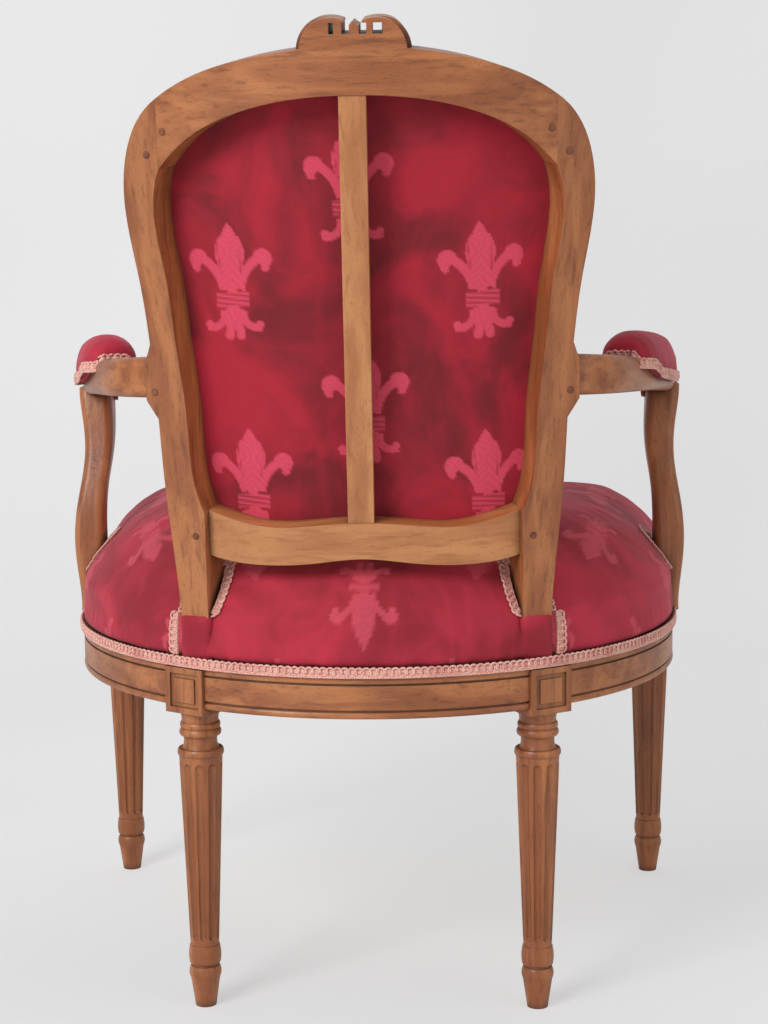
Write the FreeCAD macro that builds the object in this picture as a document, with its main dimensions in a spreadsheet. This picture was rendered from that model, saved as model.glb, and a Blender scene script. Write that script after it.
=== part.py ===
import FreeCAD, Part
import os
from math import acos, asin, atan2, cos, degrees, hypot, pi, radians, sin, sqrt
from FreeCAD import Placement, Rotation, Vector
import Sketcher

# An open armchair with a curved back, seen and measured mostly from behind. Millimetres, front at -Y.
# While it is built, Y = 0 is the axis of the back legs. At the end everything moves so that the
# origin is under the middle of the whole chair.

doc = FreeCAD.newDocument("fauteuil")
sheet = doc.addObject("Spreadsheet::Sheet", "sizes")

SIZES = {
    # where the legs stand
    "back_leg_spread": 155,
    "front_leg_spread": 292,
    "leg_run": 424,
    # turned leg, from the floor up
    "tip_height": 27,
    "bulge_height": 12,
    "groove_height": 3,
    "collar_height": 17,
    "shaft_height": 182,
    "lip_height": 6,
    "gorge_height": 12,
    "lower_ring_height": 7,
    "upper_ring_height": 6,
    "neck_height": 10,
    "block_height": 50,
    "tip_diameter": 19.3,
    "bulge_diameter": 27.3,
    "groove_diameter": 24.8,
    "collar_diameter": 29,
    "shaft_foot_diameter": 26.5,
    "shaft_top_diameter": 40.3,
    "lip_diameter": 42,
    "gorge_diameter": 31.8,
    "ring_diameter": 36,
    "neck_diameter": 34,
    "block_width": 44,
    # flutes of the shaft
    "flute_count": 10,
    "flute_foot_radius": 3.1,
    "flute_top_radius": 4.7,
    "flute_depth": 2.4,
    "flute_end_margin": 6,
    # sunk square and raised tablet on the outer face of each block
    "tablet_border": 5.5,
    "tablet_gap": 4.5,
    "tablet_depth": 2,
    "tablet_rise": 1.4,
    # seat rails
    "seat_arc_radius": 298,
    "seat_arc_centre": 232,
    "front_bow": 13,
    "rail_height": 44,
    "rail_thickness": 28,
    "rail_bead": 6,
    "rail_groove": 2,
    "rail_fillet": 12,
    "block_proud": 2.6,
    "tenon_length": 19,
    "tenon_thickness": 9,
    "tenon_height": 28,
    "joint_clearance": 0.1,
    # curved back: one cylinder, leaning backwards
    "back_radius": 465,
    "back_lean": 9.65,
    "back_foot_y": 46.8,
    "frame_thickness": 36,
    "rebate_depth": 5.5,
    "rebate_width": 9.5,
    # outline of the back frame: height above the seat rail, half-width outside and inside
    "foot_outer": 168,
    "foot_inner": 139,
    "knee_height": 165,
    "knee_outer": 177,
    "knee_inner": 149.5,
    "under_arm_height": 218,
    "under_arm_outer": 179.5,
    "under_arm_inner": 153,
    "waist_height": 294,
    "waist_outer": 185,
    "waist_inner": 161,
    "flare_height": 345,
    "flare_outer": 191.5,
    "flare_inner": 166.5,
    "shoulder_height": 416,
    "shoulder_outer": 201.5,
    "shoulder_inner": 174.5,
    "joint_half_width": 169,
    "joint_inner_height": 439,
    "joint_outer_height": 498.5,
    "crest_top": 542.7,
    "crest_opening_top": 503,
    # lower rail of the back
    "bottom_rail_low_end": 95.5,
    "bottom_rail_high_end": 137.5,
    "bottom_rail_half_width": 141,
    "bottom_rail_low_sag": 5.5,
    "bottom_rail_belly": 98,
    "bottom_rail_middle_top": 131.4,
    "bottom_rail_dip": 125.5,
    "bottom_rail_setback": 8.5,
    "bottom_rail_thickness": 24,
    # strut
    "strut_width": 23,
    "strut_offset": 1.5,
    "strut_thickness": 13,
    "strut_tenon": 10,
    # carved crest
    "carving_half_width": 49,
    "carving_rise": 22.5,
    "carving_back_thickness": 15,
    # pegs
    "peg_diameter": 6,
    "peg_length": 24,
    # arms
    "arm_root_low": 235.5,
    "arm_root_high": 270,
    "arm_root_out": 190,
    "arm_root_width": 27,
    "arm_root_height": 36,
    "arm_width": 35,
    "arm_thickness": 33,
    "arm_front_spread": 289,
    "arm_front_run": 292,
    "arm_front_height": 567,
    "arm_scroll_radius": 21,
    "support_foot_run": 244,
    "support_width": 29,
    "support_depth": 33,
    "support_tenon": 15,
    # arm pads
    "arm_pad_width": 58,
    "arm_pad_height": 24,
    "arm_pad_back_run": 42,
    "arm_pad_front_run": 247,
    # seat upholstery
    "web_width": 58,
    "web_thickness": 1.5,
    "web_inset": 11,
    "web_count": 4,
    "canvas_thickness": 1.2,
    "canvas_inset": 8,
    "seat_crown": 116,
    "seat_side_height": 45,
    "seat_bulge": 2.4,
    "soft_clearance": 0.3,
    "gimp_width": 11,
    "gimp_thickness": 1.9,
    "gimp_drop": 7.5,
    # back upholstery
    "cover_thickness": 1.2,
    "back_pad_crown": 36,
    "back_pad_edge": 7,
}

for row, (alias, value) in enumerate(SIZES.items(), start=1):
    sheet.set(f"A{row}", alias)
    sheet.set(f"B{row}", str(value))
    sheet.setAlias(f"B{row}", alias)
doc.recompute()


def mm(alias):
    """One driving size of the chair."""
    return float(sheet.get(alias))


def bound(item, **expressions):
    """Tie properties of a feature to the sheet."""
    for prop, expression in expressions.items():
        item.setExpression(prop, expression)
    return item


# Heights that follow from the turned parts stacked on each other.
LEG_STACK = ["tip_height", "bulge_height", "groove_height", "collar_height", "shaft_height", "lip_height",
             "gorge_height", "lower_ring_height", "upper_ring_height", "neck_height", "block_height"]


def stack_height(upto):
    return sum(mm(name) for name in LEG_STACK[:LEG_STACK.index(upto) + 1])


def stack_expression(upto):
    return " + ".join("sizes." + name for name in LEG_STACK[:LEG_STACK.index(upto) + 1])


SEAT_TOP = stack_height("block_height")
SEAT_TOP_CELL = "(" + stack_expression("block_height") + ")"
SOFT = mm("soft_clearance")


def feature(name, shape):
    """A plain feature for a form that neither a body nor a primitive can hold."""
    item = doc.addObject("Part::Feature", name)
    item.Shape = shape
    return item


def fused(name, parts):
    item = doc.addObject("Part::MultiFuse", name)
    item.Shapes = parts
    item.Refine = True
    return item


def cut(name, base, tool):
    item = doc.addObject("Part::Cut", name)
    item.Base = base
    item.Tool = tool
    return item


def compound(name, parts):
    item = doc.addObject("Part::Compound", name)
    item.Links = parts
    return item


def labelled(item, node):
    """Mark a feature as a finished piece of the chair."""
    item.Label = node
    PIECES.append(item)
    return item


PIECES = []
SIDES = {"left": 1, "right": -1}


# Plan of the seat: a rear arc, two straight flaring sides and a bowed front.
class SeatPlan:
    def __init__(self):
        self.radius = mm("seat_arc_radius")
        self.centre = Vector(0, -mm("seat_arc_centre"), 0)
        side_x = mm("front_leg_spread") + mm("block_width") / 2 - mm("block_proud")
        reach_y = self.centre.y + mm("leg_run")
        far = hypot(side_x, reach_y)
        self.end_angle = atan2(side_x, -reach_y) - acos(self.radius / far)
        self.back_leg_angle = atan2(mm("back_leg_spread"), mm("seat_arc_centre"))
        self.side_direction = Vector(cos(self.end_angle), -sin(self.end_angle), 0)
        self.side_length = sqrt(far * far - self.radius * self.radius)
        self.front_y = -(mm("leg_run") + mm("block_width") / 2 - mm("block_proud"))
        half = mm("front_leg_spread")
        bow = mm("front_bow")
        self.front_radius = (half * half + bow * bow) / (2 * bow)

    def on_arc(self, angle, offset=0.0):
        reach = self.radius + offset
        return self.centre + Vector(reach * sin(angle), reach * cos(angle), 0)

    def front_corner(self, offset):
        """Where the side line meets the level of the front corners."""
        start = self.on_arc(self.end_angle, offset)
        along = (self.front_y - offset - start.y) / self.side_direction.y
        return start + self.side_direction * along

    def wire(self, offset, z):
        """Closed outline at an offset outside the rails, with rounded front corners."""
        corner = max(8.0, 22.0 + offset * 0.5)
        right_back = self.on_arc(self.end_angle, offset)
        tip = self.front_corner(offset)
        side_end = tip - self.side_direction * corner
        front_end = tip + Vector(-corner, -corner * mm("front_bow") / mm("front_leg_spread"), 0)
        bow_y = self.front_y - offset - mm("front_bow")
        turn = (side_end + front_end) * 0.5
        bulge = turn + (tip - turn) * 0.42
        flip = lambda p: Vector(-p.x, p.y, p.z)
        corners = [flip(right_back), self.on_arc(0, offset), right_back, side_end, bulge, front_end]
        corners += [Vector(0, bow_y, 0), flip(front_end), flip(bulge), flip(side_end)]
        lift = Vector(0, 0, z)
        p = [c + lift for c in corners]
        quarter = self.on_arc(self.end_angle / 2, offset) + lift
        edges = [
            Part.Arc(p[0], flip(quarter), p[1]).toShape(),
            Part.Arc(p[1], quarter, p[2]).toShape(),
            Part.LineSegment(p[2], p[3]).toShape(),
            Part.Arc(p[3], p[4], p[5]).toShape(),
            Part.Arc(p[5], p[6], p[7]).toShape(),
            Part.Arc(p[7], p[8], p[9]).toShape(),
            Part.LineSegment(p[9], p[0]).toShape(),
        ]
        return Part.Wire(edges)

    def slab(self, offset, low, high):
        return Part.Face(self.wire(offset, low)).extrude(Vector(0, 0, high - low))


plan = SeatPlan()


# The curved back: a frame of its own, where w runs up the lean, v backwards and x across.
LEAN = Rotation(Vector(1, 0, 0), -mm("back_lean"))
BACK = Placement(Vector(0, mm("back_foot_y"), SEAT_TOP), LEAN)
BACK_RADIUS = mm("back_radius")


def back_ring(depth_a, depth_b, low=-60.0, high=640.0):
    """Slab between two depths behind the curved rear face, in the back's own frame."""
    axis = Vector(0, -BACK_RADIUS, low)
    outer = Part.makeCylinder(BACK_RADIUS - depth_a, high - low, axis)
    inner = Part.makeCylinder(BACK_RADIUS - depth_b, high - low, axis)
    return outer.cut(inner)


def spread(x, v):
    """Where the radial line through x on the rear face lies at level v."""
    return (BACK_RADIUS + v) * x / sqrt(BACK_RADIUS * BACK_RADIUS - x * x)


def radial_prism(runs, ahead=-95.0, behind=30.0):
    """Solid whose walls stand square to the curved back. A run is a list of (x, w) points; two points
    make a line, more make a smooth curve, and the last point of a run starts the next."""
    wires = []
    for v in (behind, ahead):
        edges = []
        for run in runs:
            points = [Vector(spread(x, v), v, w) for x, w in run]
            if len(points) == 2:
                edges.append(Part.LineSegment(*points).toShape())
            else:
                curve = Part.BSplineCurve()
                curve.interpolate(points)
                edges.append(curve.toShape())
        wires.append(Part.Wire(edges))
    return Part.makeLoft(wires, True, True)


def mirrored_run(run):
    return [(-x, w) for x, w in reversed(run)]


def curved_block(x0, x1, w0, w1, depth_a, depth_b):
    """Block cut from the curved slab, for tenons, straps and sheets."""
    runs = [[(x0, w0), (x1, w0)], [(x1, w0), (x1, w1)], [(x1, w1), (x0, w1)], [(x0, w1), (x0, w0)]]
    return radial_prism(runs).common(back_ring(depth_a, depth_b))


FOOT_DROP = mm("block_height") * 0.45


def outer_side(grow=0.0):
    """Outside of one stile, foot to crest joint."""
    names = ["knee", "under_arm", "waist", "flare", "shoulder"]
    low = [(mm("foot_outer") + grow, -FOOT_DROP), (mm("foot_outer") + grow, 60)]
    middle = [(mm(n + "_outer") + grow, mm(n + "_height")) for n in names]
    lean = mm("joint_outer_height") - mm("shoulder_height")
    bend = (mm("shoulder_outer") * 0.955 + grow, mm("shoulder_height") + lean * 0.63)
    end = (mm("joint_half_width") + grow, mm("joint_outer_height"))
    return low + middle + [bend, end]


def inner_side_high(grow=0.0):
    """Inside of one stile, above the lower rail."""
    names = ["knee", "under_arm", "waist", "flare", "shoulder"]
    start = (mm("bottom_rail_half_width") + grow, mm("bottom_rail_high_end"))
    middle = [(mm(n + "_inner") + grow, mm(n + "_height")) for n in names]
    return [start] + middle + [(mm("joint_half_width") + grow, mm("joint_inner_height"))]


def inner_side_low(grow=0.0):
    start = (mm("foot_inner") + grow, -FOOT_DROP)
    end = (mm("bottom_rail_half_width") + grow, mm("bottom_rail_low_end"))
    return [start, (mm("foot_inner") + grow + 2.4, (end[1] - FOOT_DROP) * 0.6), end]


def crest_under(grow=0.0):
    """Lower edge of the crest rail, from the joint to the middle."""
    joint = (mm("joint_half_width"), mm("joint_inner_height"))
    rise = mm("crest_opening_top") - joint[1]
    bend = [(joint[0] * 0.91, joint[1] + rise * 0.27), (joint[0] * 0.79, joint[1] + rise * 0.52)]
    bend += [(joint[0] * 0.61, joint[1] + rise * 0.75), (joint[0] * 0.3, joint[1] + rise * 0.95)]
    points = [joint] + bend + [(0, mm("crest_opening_top"))]
    return [(x * (1 + grow / joint[0]), w + grow * (w - joint[1]) / rise) for x, w in points]


def crest_over():
    """Upper edge of the crest rail, from the joint to the middle."""
    joint = (mm("joint_half_width"), mm("joint_outer_height"))
    rise = mm("crest_top") - joint[1]
    bend = [(joint[0] * 0.78, joint[1] + rise * 0.49), (joint[0] * 0.37, joint[1] + rise * 0.89)]
    return [joint] + bend + [(0, mm("crest_top"))]


JOINT_X = mm("joint_half_width")


def smooth_over(run):
    """A half run and its mirror image as one smooth run through the middle."""
    return run + mirrored_run(run)[1:]


# Turned and fluted leg with its square block, as one body.
def lathe_sketch(body, name, corners):
    """Closed half profile in the XZ plane. A corner is (radius cell, height cell, radius, height, bulge)."""
    sketch = body.newObject("Sketcher::SketchObject", name)
    planes = [f for f in body.Origin.OriginFeatures if f.Role == "XZ_Plane"]
    sketch.AttachmentSupport = (planes[0], [""])
    sketch.MapMode = "FlatFace"
    count = len(corners)
    for i, corner in enumerate(corners):
        after = corners[(i + 1) % count]
        start = Vector(corner[2], corner[3], 0)
        end = Vector(after[2], after[3], 0)
        if corner[4]:
            out = Vector(end.y - start.y, start.x - end.x, 0).normalize()
            sketch.addGeometry(Part.Arc(start, (start + end) * 0.5 + out * corner[4], end))
        else:
            sketch.addGeometry(Part.LineSegment(start, end))
    first = []
    last = []
    for i, corner in enumerate(corners):
        start = Vector(corner[2], corner[3], 0)
        flipped = sketch.getPoint(i, 1).distanceToPoint(start) > 1e-6
        first.append(2 if flipped else 1)
        last.append(1 if flipped else 2)
    for i, corner in enumerate(corners):
        after = (i + 1) % count
        sketch.addConstraint(Sketcher.Constraint("Coincident", i, last[i], after, first[after]))
        for kind, cell, value in (("DistanceX", corner[0], corner[2]), ("DistanceY", corner[1], corner[3])):
            if abs(value) < 1e-9:
                on_axis = "Vertical" if kind == "DistanceX" else "Horizontal"
                sketch.addConstraint(Sketcher.Constraint(on_axis, -1, 1, i, first[i]))
                continue
            number = sketch.addConstraint(Sketcher.Constraint(kind, -1, 1, i, first[i], value))
            sketch.setExpression(f"Constraints[{number}]", cell)
        if corner[4]:
            chord = sketch.getPoint(i, 1).distanceToPoint(sketch.getPoint(i, 2))
            radius = (chord * chord / 4 + corner[4] ** 2) / (2 * abs(corner[4]))
            sketch.addConstraint(Sketcher.Constraint("Radius", i, radius))
    return sketch


def leg_profile():
    def corner(diameter, height, bulge=0.0, scale=1.0):
        return (f"sizes.{diameter} / 2 * {scale}", stack_expression(height),
                mm(diameter) / 2 * scale, stack_height(height), bulge)

    block = ("sizes.neck_diameter / 2 * 1.12", stack_expression("neck_height"),
             mm("neck_diameter") / 2 * 1.12, stack_height("neck_height"), 0.0)
    return [
        ("0", "0", 0.0, 0.0, 0.0),
        ("sizes.tip_diameter / 2", "0", mm("tip_diameter") / 2, 0.0, 0.0),
        corner("bulge_diameter", "tip_height", 1.5),
        corner("bulge_diameter", "bulge_height", scale=0.98),
        corner("groove_diameter", "bulge_height"),
        corner("groove_diameter", "groove_height"),
        corner("collar_diameter", "groove_height", 0.9),
        corner("collar_diameter", "collar_height", scale=0.96),
        corner("shaft_foot_diameter", "collar_height"),
        corner("shaft_top_diameter", "shaft_height"),
        corner("lip_diameter", "shaft_height", 0.8),
        corner("lip_diameter", "lip_height", scale=0.97),
        corner("gorge_diameter", "lip_height", -1.0, 1.06),
        corner("gorge_diameter", "gorge_height"),
        corner("ring_diameter", "gorge_height", 1.7),
        corner("ring_diameter", "lower_ring_height", 1.2, 0.97),
        corner("ring_diameter", "upper_ring_height", scale=0.97),
        corner("neck_diameter", "upper_ring_height", -0.8),
        block,
        ("0", stack_expression("neck_height"), 0.0, stack_height("neck_height"), 0.0),
    ]


def placed(item, base, turn=None):
    item.Placement = Placement(base, turn or Rotation())
    return item


def placed_shape(shape, base, turn):
    """A shape turned about the upright through a base point."""
    shape = shape.copy()
    shape.Placement = Placement(base, Rotation(Vector(0, 0, 1), turn)).multiply(shape.Placement)
    return shape


def flute_gouges():
    """Tapered round-ended gouges that lean with the shaft, all round it."""
    low_z = stack_height("collar_height") + mm("flute_end_margin") + mm("flute_foot_radius")
    high_z = stack_height("shaft_height") - mm("flute_end_margin") - mm("flute_top_radius")
    foot_r = mm("shaft_foot_diameter") / 2
    taper = (mm("shaft_top_diameter") / 2 - foot_r) / mm("shaft_height")
    low_r = foot_r + taper * (low_z - stack_height("collar_height")) + mm("flute_foot_radius") - mm("flute_depth")
    high_r = foot_r + taper * (high_z - stack_height("collar_height")) + mm("flute_top_radius") - mm("flute_depth")
    low_end = Vector(low_r, 0, low_z)
    high_end = Vector(high_r, 0, high_z)
    lean = high_end - low_end
    gouge = Part.makeCone(mm("flute_foot_radius"), mm("flute_top_radius"), lean.Length, low_end, lean)
    gouge = gouge.fuse([Part.makeSphere(mm("flute_foot_radius"), low_end),
                        Part.makeSphere(mm("flute_top_radius"), high_end)])
    count = int(mm("flute_count"))
    return [placed_shape(gouge, Vector(), 360 * (i + 0.5) / count) for i in range(count)]


def leg_body(name, tablet_faces):
    """Turned leg and block. tablet_faces are the turns, in degrees, of the faces that carry a tablet."""
    body = doc.addObject("PartDesign::Body", name)
    sketch = lathe_sketch(body, name + "_profile", leg_profile())
    turned = body.newObject("PartDesign::Revolution", name + "_turned")
    turned.Profile = sketch
    turned.ReferenceAxis = (sketch, ["V_Axis"])
    turned.Angle = 360
    doc.recompute()
    half = mm("block_width") / 2
    base_z = stack_height("neck_height")
    block = body.newObject("PartDesign::AdditiveBox", name + "_block")
    bound(block, Length="sizes.block_width", Width="sizes.block_width", Height="sizes.block_height")
    placed(block, Vector(-half, -half, base_z))
    for turn in tablet_faces:
        sunk = body.newObject("PartDesign::SubtractiveBox", name + "_sunk_square")
        bound(sunk, Length="sizes.block_width - 2 * sizes.tablet_border", Width="sizes.tablet_depth",
              Height="sizes.block_height - sizes.gimp_drop - 2 * sizes.tablet_border")
        facing = Rotation(Vector(0, 0, 1), turn)
        border = mm("tablet_border")
        corner = Vector(border - half, half - mm("tablet_depth"), 0)
        placed(sunk, facing.multVec(corner) + Vector(0, 0, base_z + border), facing)
        tablet = body.newObject("PartDesign::AdditiveBox", name + "_tablet")
        inset = "2 * (sizes.tablet_border + sizes.tablet_gap)"
        bound(tablet, Length="sizes.block_width - " + inset, Width="sizes.tablet_rise",
              Height="sizes.block_height - sizes.gimp_drop - " + inset)
        edge = border + mm("tablet_gap")
        corner = Vector(edge - half, half - mm("tablet_depth"), 0)
        placed(tablet, facing.multVec(corner) + Vector(0, 0, base_z + edge), facing)
    doc.recompute()
    return body


# Tenon of a seat rail and the mortise that takes it, in the frame of the leg block.
def tenon_box(name, side_turn, leg_axis, turn, grow=0.0):
    """Box that reaches into the block from the face turned side_turn degrees from its outer face."""
    length = mm("tenon_length") + grow
    thick = mm("tenon_thickness") + 2 * grow
    tall = mm("tenon_height") + 2 * grow
    half = mm("block_width") / 2
    box = Part.makeBox(length + 6, thick, tall, Vector(half - length, -thick / 2, 0))
    box.Placement = Placement(Vector(0, 0, 0), Rotation(Vector(0, 0, 1), side_turn))
    base = leg_axis + Vector(0, 0, SEAT_TOP - mm("rail_height") / 2 - tall / 2)
    box.Placement = Placement(base, Rotation(Vector(0, 0, 1), turn)).multiply(box.Placement)
    return feature(name, box)


def rail_sketch(name, outer, placement):
    """Moulded section of a seat rail: bead, groove, flat field, groove and top fillet."""
    bead = mm("rail_bead")
    groove = mm("rail_groove")
    top = mm("rail_height")
    fillet_low = top - mm("rail_fillet")
    inner = outer - mm("rail_thickness")
    corners = [(inner, 0), (outer - 1, 0), (outer - 1, bead), (outer - groove, bead),
               (outer - groove, bead + groove), (outer, bead + groove), (outer, fillet_low - groove),
               (outer - groove, fillet_low - groove), (outer - groove, fillet_low), (outer, fillet_low),
               (outer, top), (inner, top)]
    sketch = doc.addObject("Sketcher::SketchObject", name)
    sketch.Placement = placement
    points = [Vector(x, z, 0) for x, z in corners]
    for i, point in enumerate(points):
        after = points[(i + 1) % len(points)]
        if i == 1:
            middle = (point + after) * 0.5 + Vector(1.5, 0, 0)
            sketch.addGeometry(Part.Arc(point, middle, after))
        else:
            sketch.addGeometry(Part.LineSegment(point, after))
    heights = ["0", "0", "sizes.rail_bead", "sizes.rail_bead", "sizes.rail_bead + sizes.rail_groove",
               "sizes.rail_bead + sizes.rail_groove"]
    top_groove = "sizes.rail_height - sizes.rail_fillet"
    heights += [top_groove + " - sizes.rail_groove", top_groove + " - sizes.rail_groove", top_groove, top_groove]
    heights += ["sizes.rail_height", "sizes.rail_height"]
    flipped = sketch.getPoint(1, 1).distanceToPoint(points[1]) > 1e-6
    for i in range(len(points)):
        starts = 2 if (i == 1 and flipped) else 1
        ends = 1 if (i == 1 and flipped) else 2
        after = (i + 1) % len(points)
        after_start = 2 if (after == 1 and flipped) else 1
        sketch.addConstraint(Sketcher.Constraint("Coincident", i, ends, after, after_start))
        sketch.addConstraint(Sketcher.Constraint("DistanceX", -1, 1, i, starts, points[i].x))
        if points[i].y:
            number = sketch.addConstraint(Sketcher.Constraint("DistanceY", -1, 1, i, starts, points[i].y))
            sketch.setExpression(f"Constraints[{number}]", heights[i])
        else:
            sketch.addConstraint(Sketcher.Constraint("Horizontal", -1, 1, i, starts))
    sketch.addConstraint(Sketcher.Constraint("Radius", 1, (bead * bead / 4 + 2.25) / 3))
    return sketch


def upright(angle):
    """Turn a flat sketch upright, with its x axis pointing outwards at an angle from the rear."""
    stand = Rotation(Vector(1, 0, 0), 90)
    return Rotation(Vector(0, 0, 1), 90 - degrees(angle)).multiply(stand)


def swept_rail(name, start_angle, end_angle):
    """Arc stretch of a rail about the centre of the seat plan."""
    at = Placement(plan.centre + Vector(0, 0, SEAT_TOP - mm("rail_height")), upright(start_angle))
    sketch = rail_sketch(name + "_section", plan.radius, at)
    arc = doc.addObject("Part::Revolution", name + "_arc")
    arc.Source = sketch
    arc.Axis = (0, 0, -1)
    arc.Base = plan.centre
    arc.Angle = degrees(end_angle - start_angle)
    arc.Solid = True
    return arc


# Seat rails with their tenons, and the mortises that they need.
mortises = {}
turns = {}
leg_axes = {}
for side, sign in SIDES.items():
    leg_axes["back_leg_" + side] = Vector(sign * mm("back_leg_spread"), 0, 0)
    turns["back_leg_" + side] = -sign * degrees(plan.back_leg_angle)
    leg_axes["front_leg_" + side] = Vector(sign * mm("front_leg_spread"), -mm("leg_run"), 0)
    turns["front_leg_" + side] = 0.0


def block_hull(leg):
    """The plain square of a leg block, which a rail stops against."""
    half = mm("block_width") / 2
    low = SEAT_TOP - mm("rail_height") - 8
    box = Part.makeBox(2 * half, 2 * half, mm("rail_height") + 16, Vector(-half, -half, low))
    box.Placement = Placement(leg_axes[leg], Rotation(Vector(0, 0, 1), turns[leg]))
    return box


def joined_rail(node, bar, ends):
    """Cut a rail to its shoulders and give it a tenon at each end. ends are (leg, face turn)."""
    hulls = compound(node + "_shoulders", [feature(f"{node}_{leg}_hull", block_hull(leg)) for leg, _ in ends])
    shoulders = cut(node + "_bar", bar, hulls)
    tenons = []
    for leg, face in ends:
        tenons.append(tenon_box(f"{node}_{leg}_tenon", face, leg_axes[leg], turns[leg]))
        slot = tenon_box(f"{node}_{leg}_mortise", face, leg_axes[leg], turns[leg], mm("joint_clearance"))
        mortises.setdefault(leg, []).append(slot)
    return labelled(fused(node + "_whole", [shoulders] + tenons), node)


back_angle = plan.back_leg_angle
joined_rail("back_seat_rail", swept_rail("back_seat_rail", -back_angle, back_angle),
            [("back_leg_left", 180), ("back_leg_right", 0)])
for side, sign in SIDES.items():
    node = "side_seat_rail_" + side
    low, high = (back_angle, plan.end_angle) if sign > 0 else (-plan.end_angle, -back_angle)
    arc = swept_rail(node, low, high)
    end = sign * plan.end_angle
    at = Placement(plan.centre + Vector(0, 0, SEAT_TOP - mm("rail_height")), upright(end))
    straight = doc.addObject("Part::Extrusion", node + "_straight")
    straight.Base = rail_sketch(node + "_end_section", plan.radius, at)
    straight.DirMode = "Custom"
    straight.Dir = Vector(sign * plan.side_direction.x, plan.side_direction.y, 0)
    straight.LengthFwd = plan.side_length
    straight.Solid = True
    bar = fused(node + "_sweep", [arc, straight])
    joined_rail(node, bar, [("back_leg_" + side, 0 if sign > 0 else 180), ("front_leg_" + side, 90)])

# Front rail, bowed forward between the front legs.
front_centre = Vector(0, plan.front_y - mm("front_bow") + plan.front_radius, 0)
front_half = asin(mm("front_leg_spread") / plan.front_radius)
at = Placement(front_centre + Vector(0, 0, SEAT_TOP - mm("rail_height")), upright(pi + front_half))
front_arc = doc.addObject("Part::Revolution", "front_seat_rail_arc")
front_arc.Source = rail_sketch("front_seat_rail_section", plan.front_radius, at)
front_arc.Axis = (0, 0, 1)
front_arc.Base = front_centre
front_arc.Angle = degrees(2 * front_half)
front_arc.Solid = True
joined_rail("front_seat_rail", front_arc, [("front_leg_left", 180), ("front_leg_right", 0)])

doc.recompute()


# Stiles, crest rail and lower rail of the back, cut from one leaning curved slab.
def stile_shape(grow=0.0):
    """One stile on the +X side, grown on all sides for a clearance cut."""
    inner_high = inner_side_high(-grow)
    inner_low = inner_side_low(-grow)
    outer = outer_side(grow)
    joint_face = [outer[-1], (inner_high[-1][0], inner_high[-1][1])]
    rail_end = [inner_high[0], inner_low[-1]]
    foot = [inner_low[0], outer[0]]
    runs = [outer, joint_face, inner_high[::-1], rail_end, inner_low[::-1], foot]
    ring = back_ring(-grow, mm("frame_thickness") + grow)
    return radial_prism(runs).common(ring)


def arm_ear(grow=0.0):
    """Land on the outside of the stile where the arm is let in, with coved ends."""
    low, high, out = mm("arm_root_low"), mm("arm_root_high"), mm("arm_root_out")
    back_in = mm("under_arm_outer") - 4
    under = [(back_in, low - 22), (out - 7, low - 11), (out - 2.5, low - 4), (out, low)]
    over = [(out, high), (out - 2, high + 5), (out - 5, high + 14), (back_in, high + 40)]
    runs = [under, [(out, low), (out, high)], over, [(back_in, high + 40), (back_in, low - 22)]]
    return radial_prism(runs).common(back_ring(-grow, mm("frame_thickness") + grow))


def upholstery_rebate(grow):
    """Closed outline of the back opening, grown outwards onto the frame."""
    side = inner_side_high(grow)
    top = crest_under(grow)
    side[-1] = top[0]
    low = mm("bottom_rail_high_end") - grow
    side[0] = (side[0][0] + 2, low)
    dip = mm("bottom_rail_dip") - grow
    middle = mm("bottom_rail_middle_top") - grow
    half = [(0, middle), (mm("bottom_rail_half_width") * 0.6, dip), side[0]]
    bottom = mirrored_run(half) + half[1:]
    return [bottom, side, smooth_over(top), mirrored_run(side)]


THICK = mm("frame_thickness")
REBATE = THICK - mm("rebate_depth")


def rebate_cut():
    return radial_prism(upholstery_rebate(mm("rebate_width"))).common(back_ring(REBATE, THICK + 10))


def bead_groove(low_w, high_w):
    """Moulding groove that follows the outside of the back on its front face."""
    outer = outer_side(-6.5)
    inner = outer_side(-9.0)
    over_outer = [(x * 0.965, w - 6.5) for x, w in crest_over()]
    over_inner = [(x * 0.95, w - 9.0) for x, w in crest_over()]
    outer = outer[1:-1] + over_outer[:1]
    inner = inner[1:-1] + over_inner[:1]
    runs = []
    for side_run, over in ((outer, over_outer), (inner, over_inner)):
        runs.append([side_run, smooth_over(over), mirrored_run(side_run)])
    solids = []
    for walls in runs:
        close = [walls[2][-1], walls[0][0]]
        solids.append(radial_prism(walls + [close]))
    return solids[0].cut(solids[1]).common(back_ring(THICK - 1.6, THICK + 5, low_w, high_w))


mid = THICK / 2
half_tenon = mm("tenon_thickness") / 2
grow = mm("joint_clearance")


def crest_tenon(extra=0.0):
    low = mm("joint_inner_height") + 16
    high = mm("joint_outer_height") - 22
    reach = (mm("shoulder_outer") - JOINT_X) * 0.55
    return curved_block(JOINT_X - 2, JOINT_X + reach + extra, low - extra, high + extra,
                        mid - half_tenon - extra, mid + half_tenon + extra)


def bottom_tenon(extra=0.0):
    start = mm("bottom_rail_half_width")
    low = mm("bottom_rail_low_end") + 6
    high = mm("bottom_rail_high_end") - 6
    centre = mm("bottom_rail_setback") + mm("bottom_rail_thickness") / 2
    return curved_block(start - 2, start + mm("tenon_length") + extra, low - extra, high + extra,
                        centre - half_tenon - extra, centre + half_tenon + extra)


def peg(x, w, extra=0.0):
    """Peg driven square to the curved back from behind, a hair proud of it."""
    angle = asin(x / BACK_RADIUS)
    start_r = BACK_RADIUS + 0.4 + extra
    axis = Vector(sin(angle), cos(angle), 0)
    start = Vector(0, -BACK_RADIUS, w) + axis * start_r
    return Part.makeCylinder(mm("peg_diameter") / 2 + extra / 10, mm("peg_length") + extra, start, axis * -1)


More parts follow.
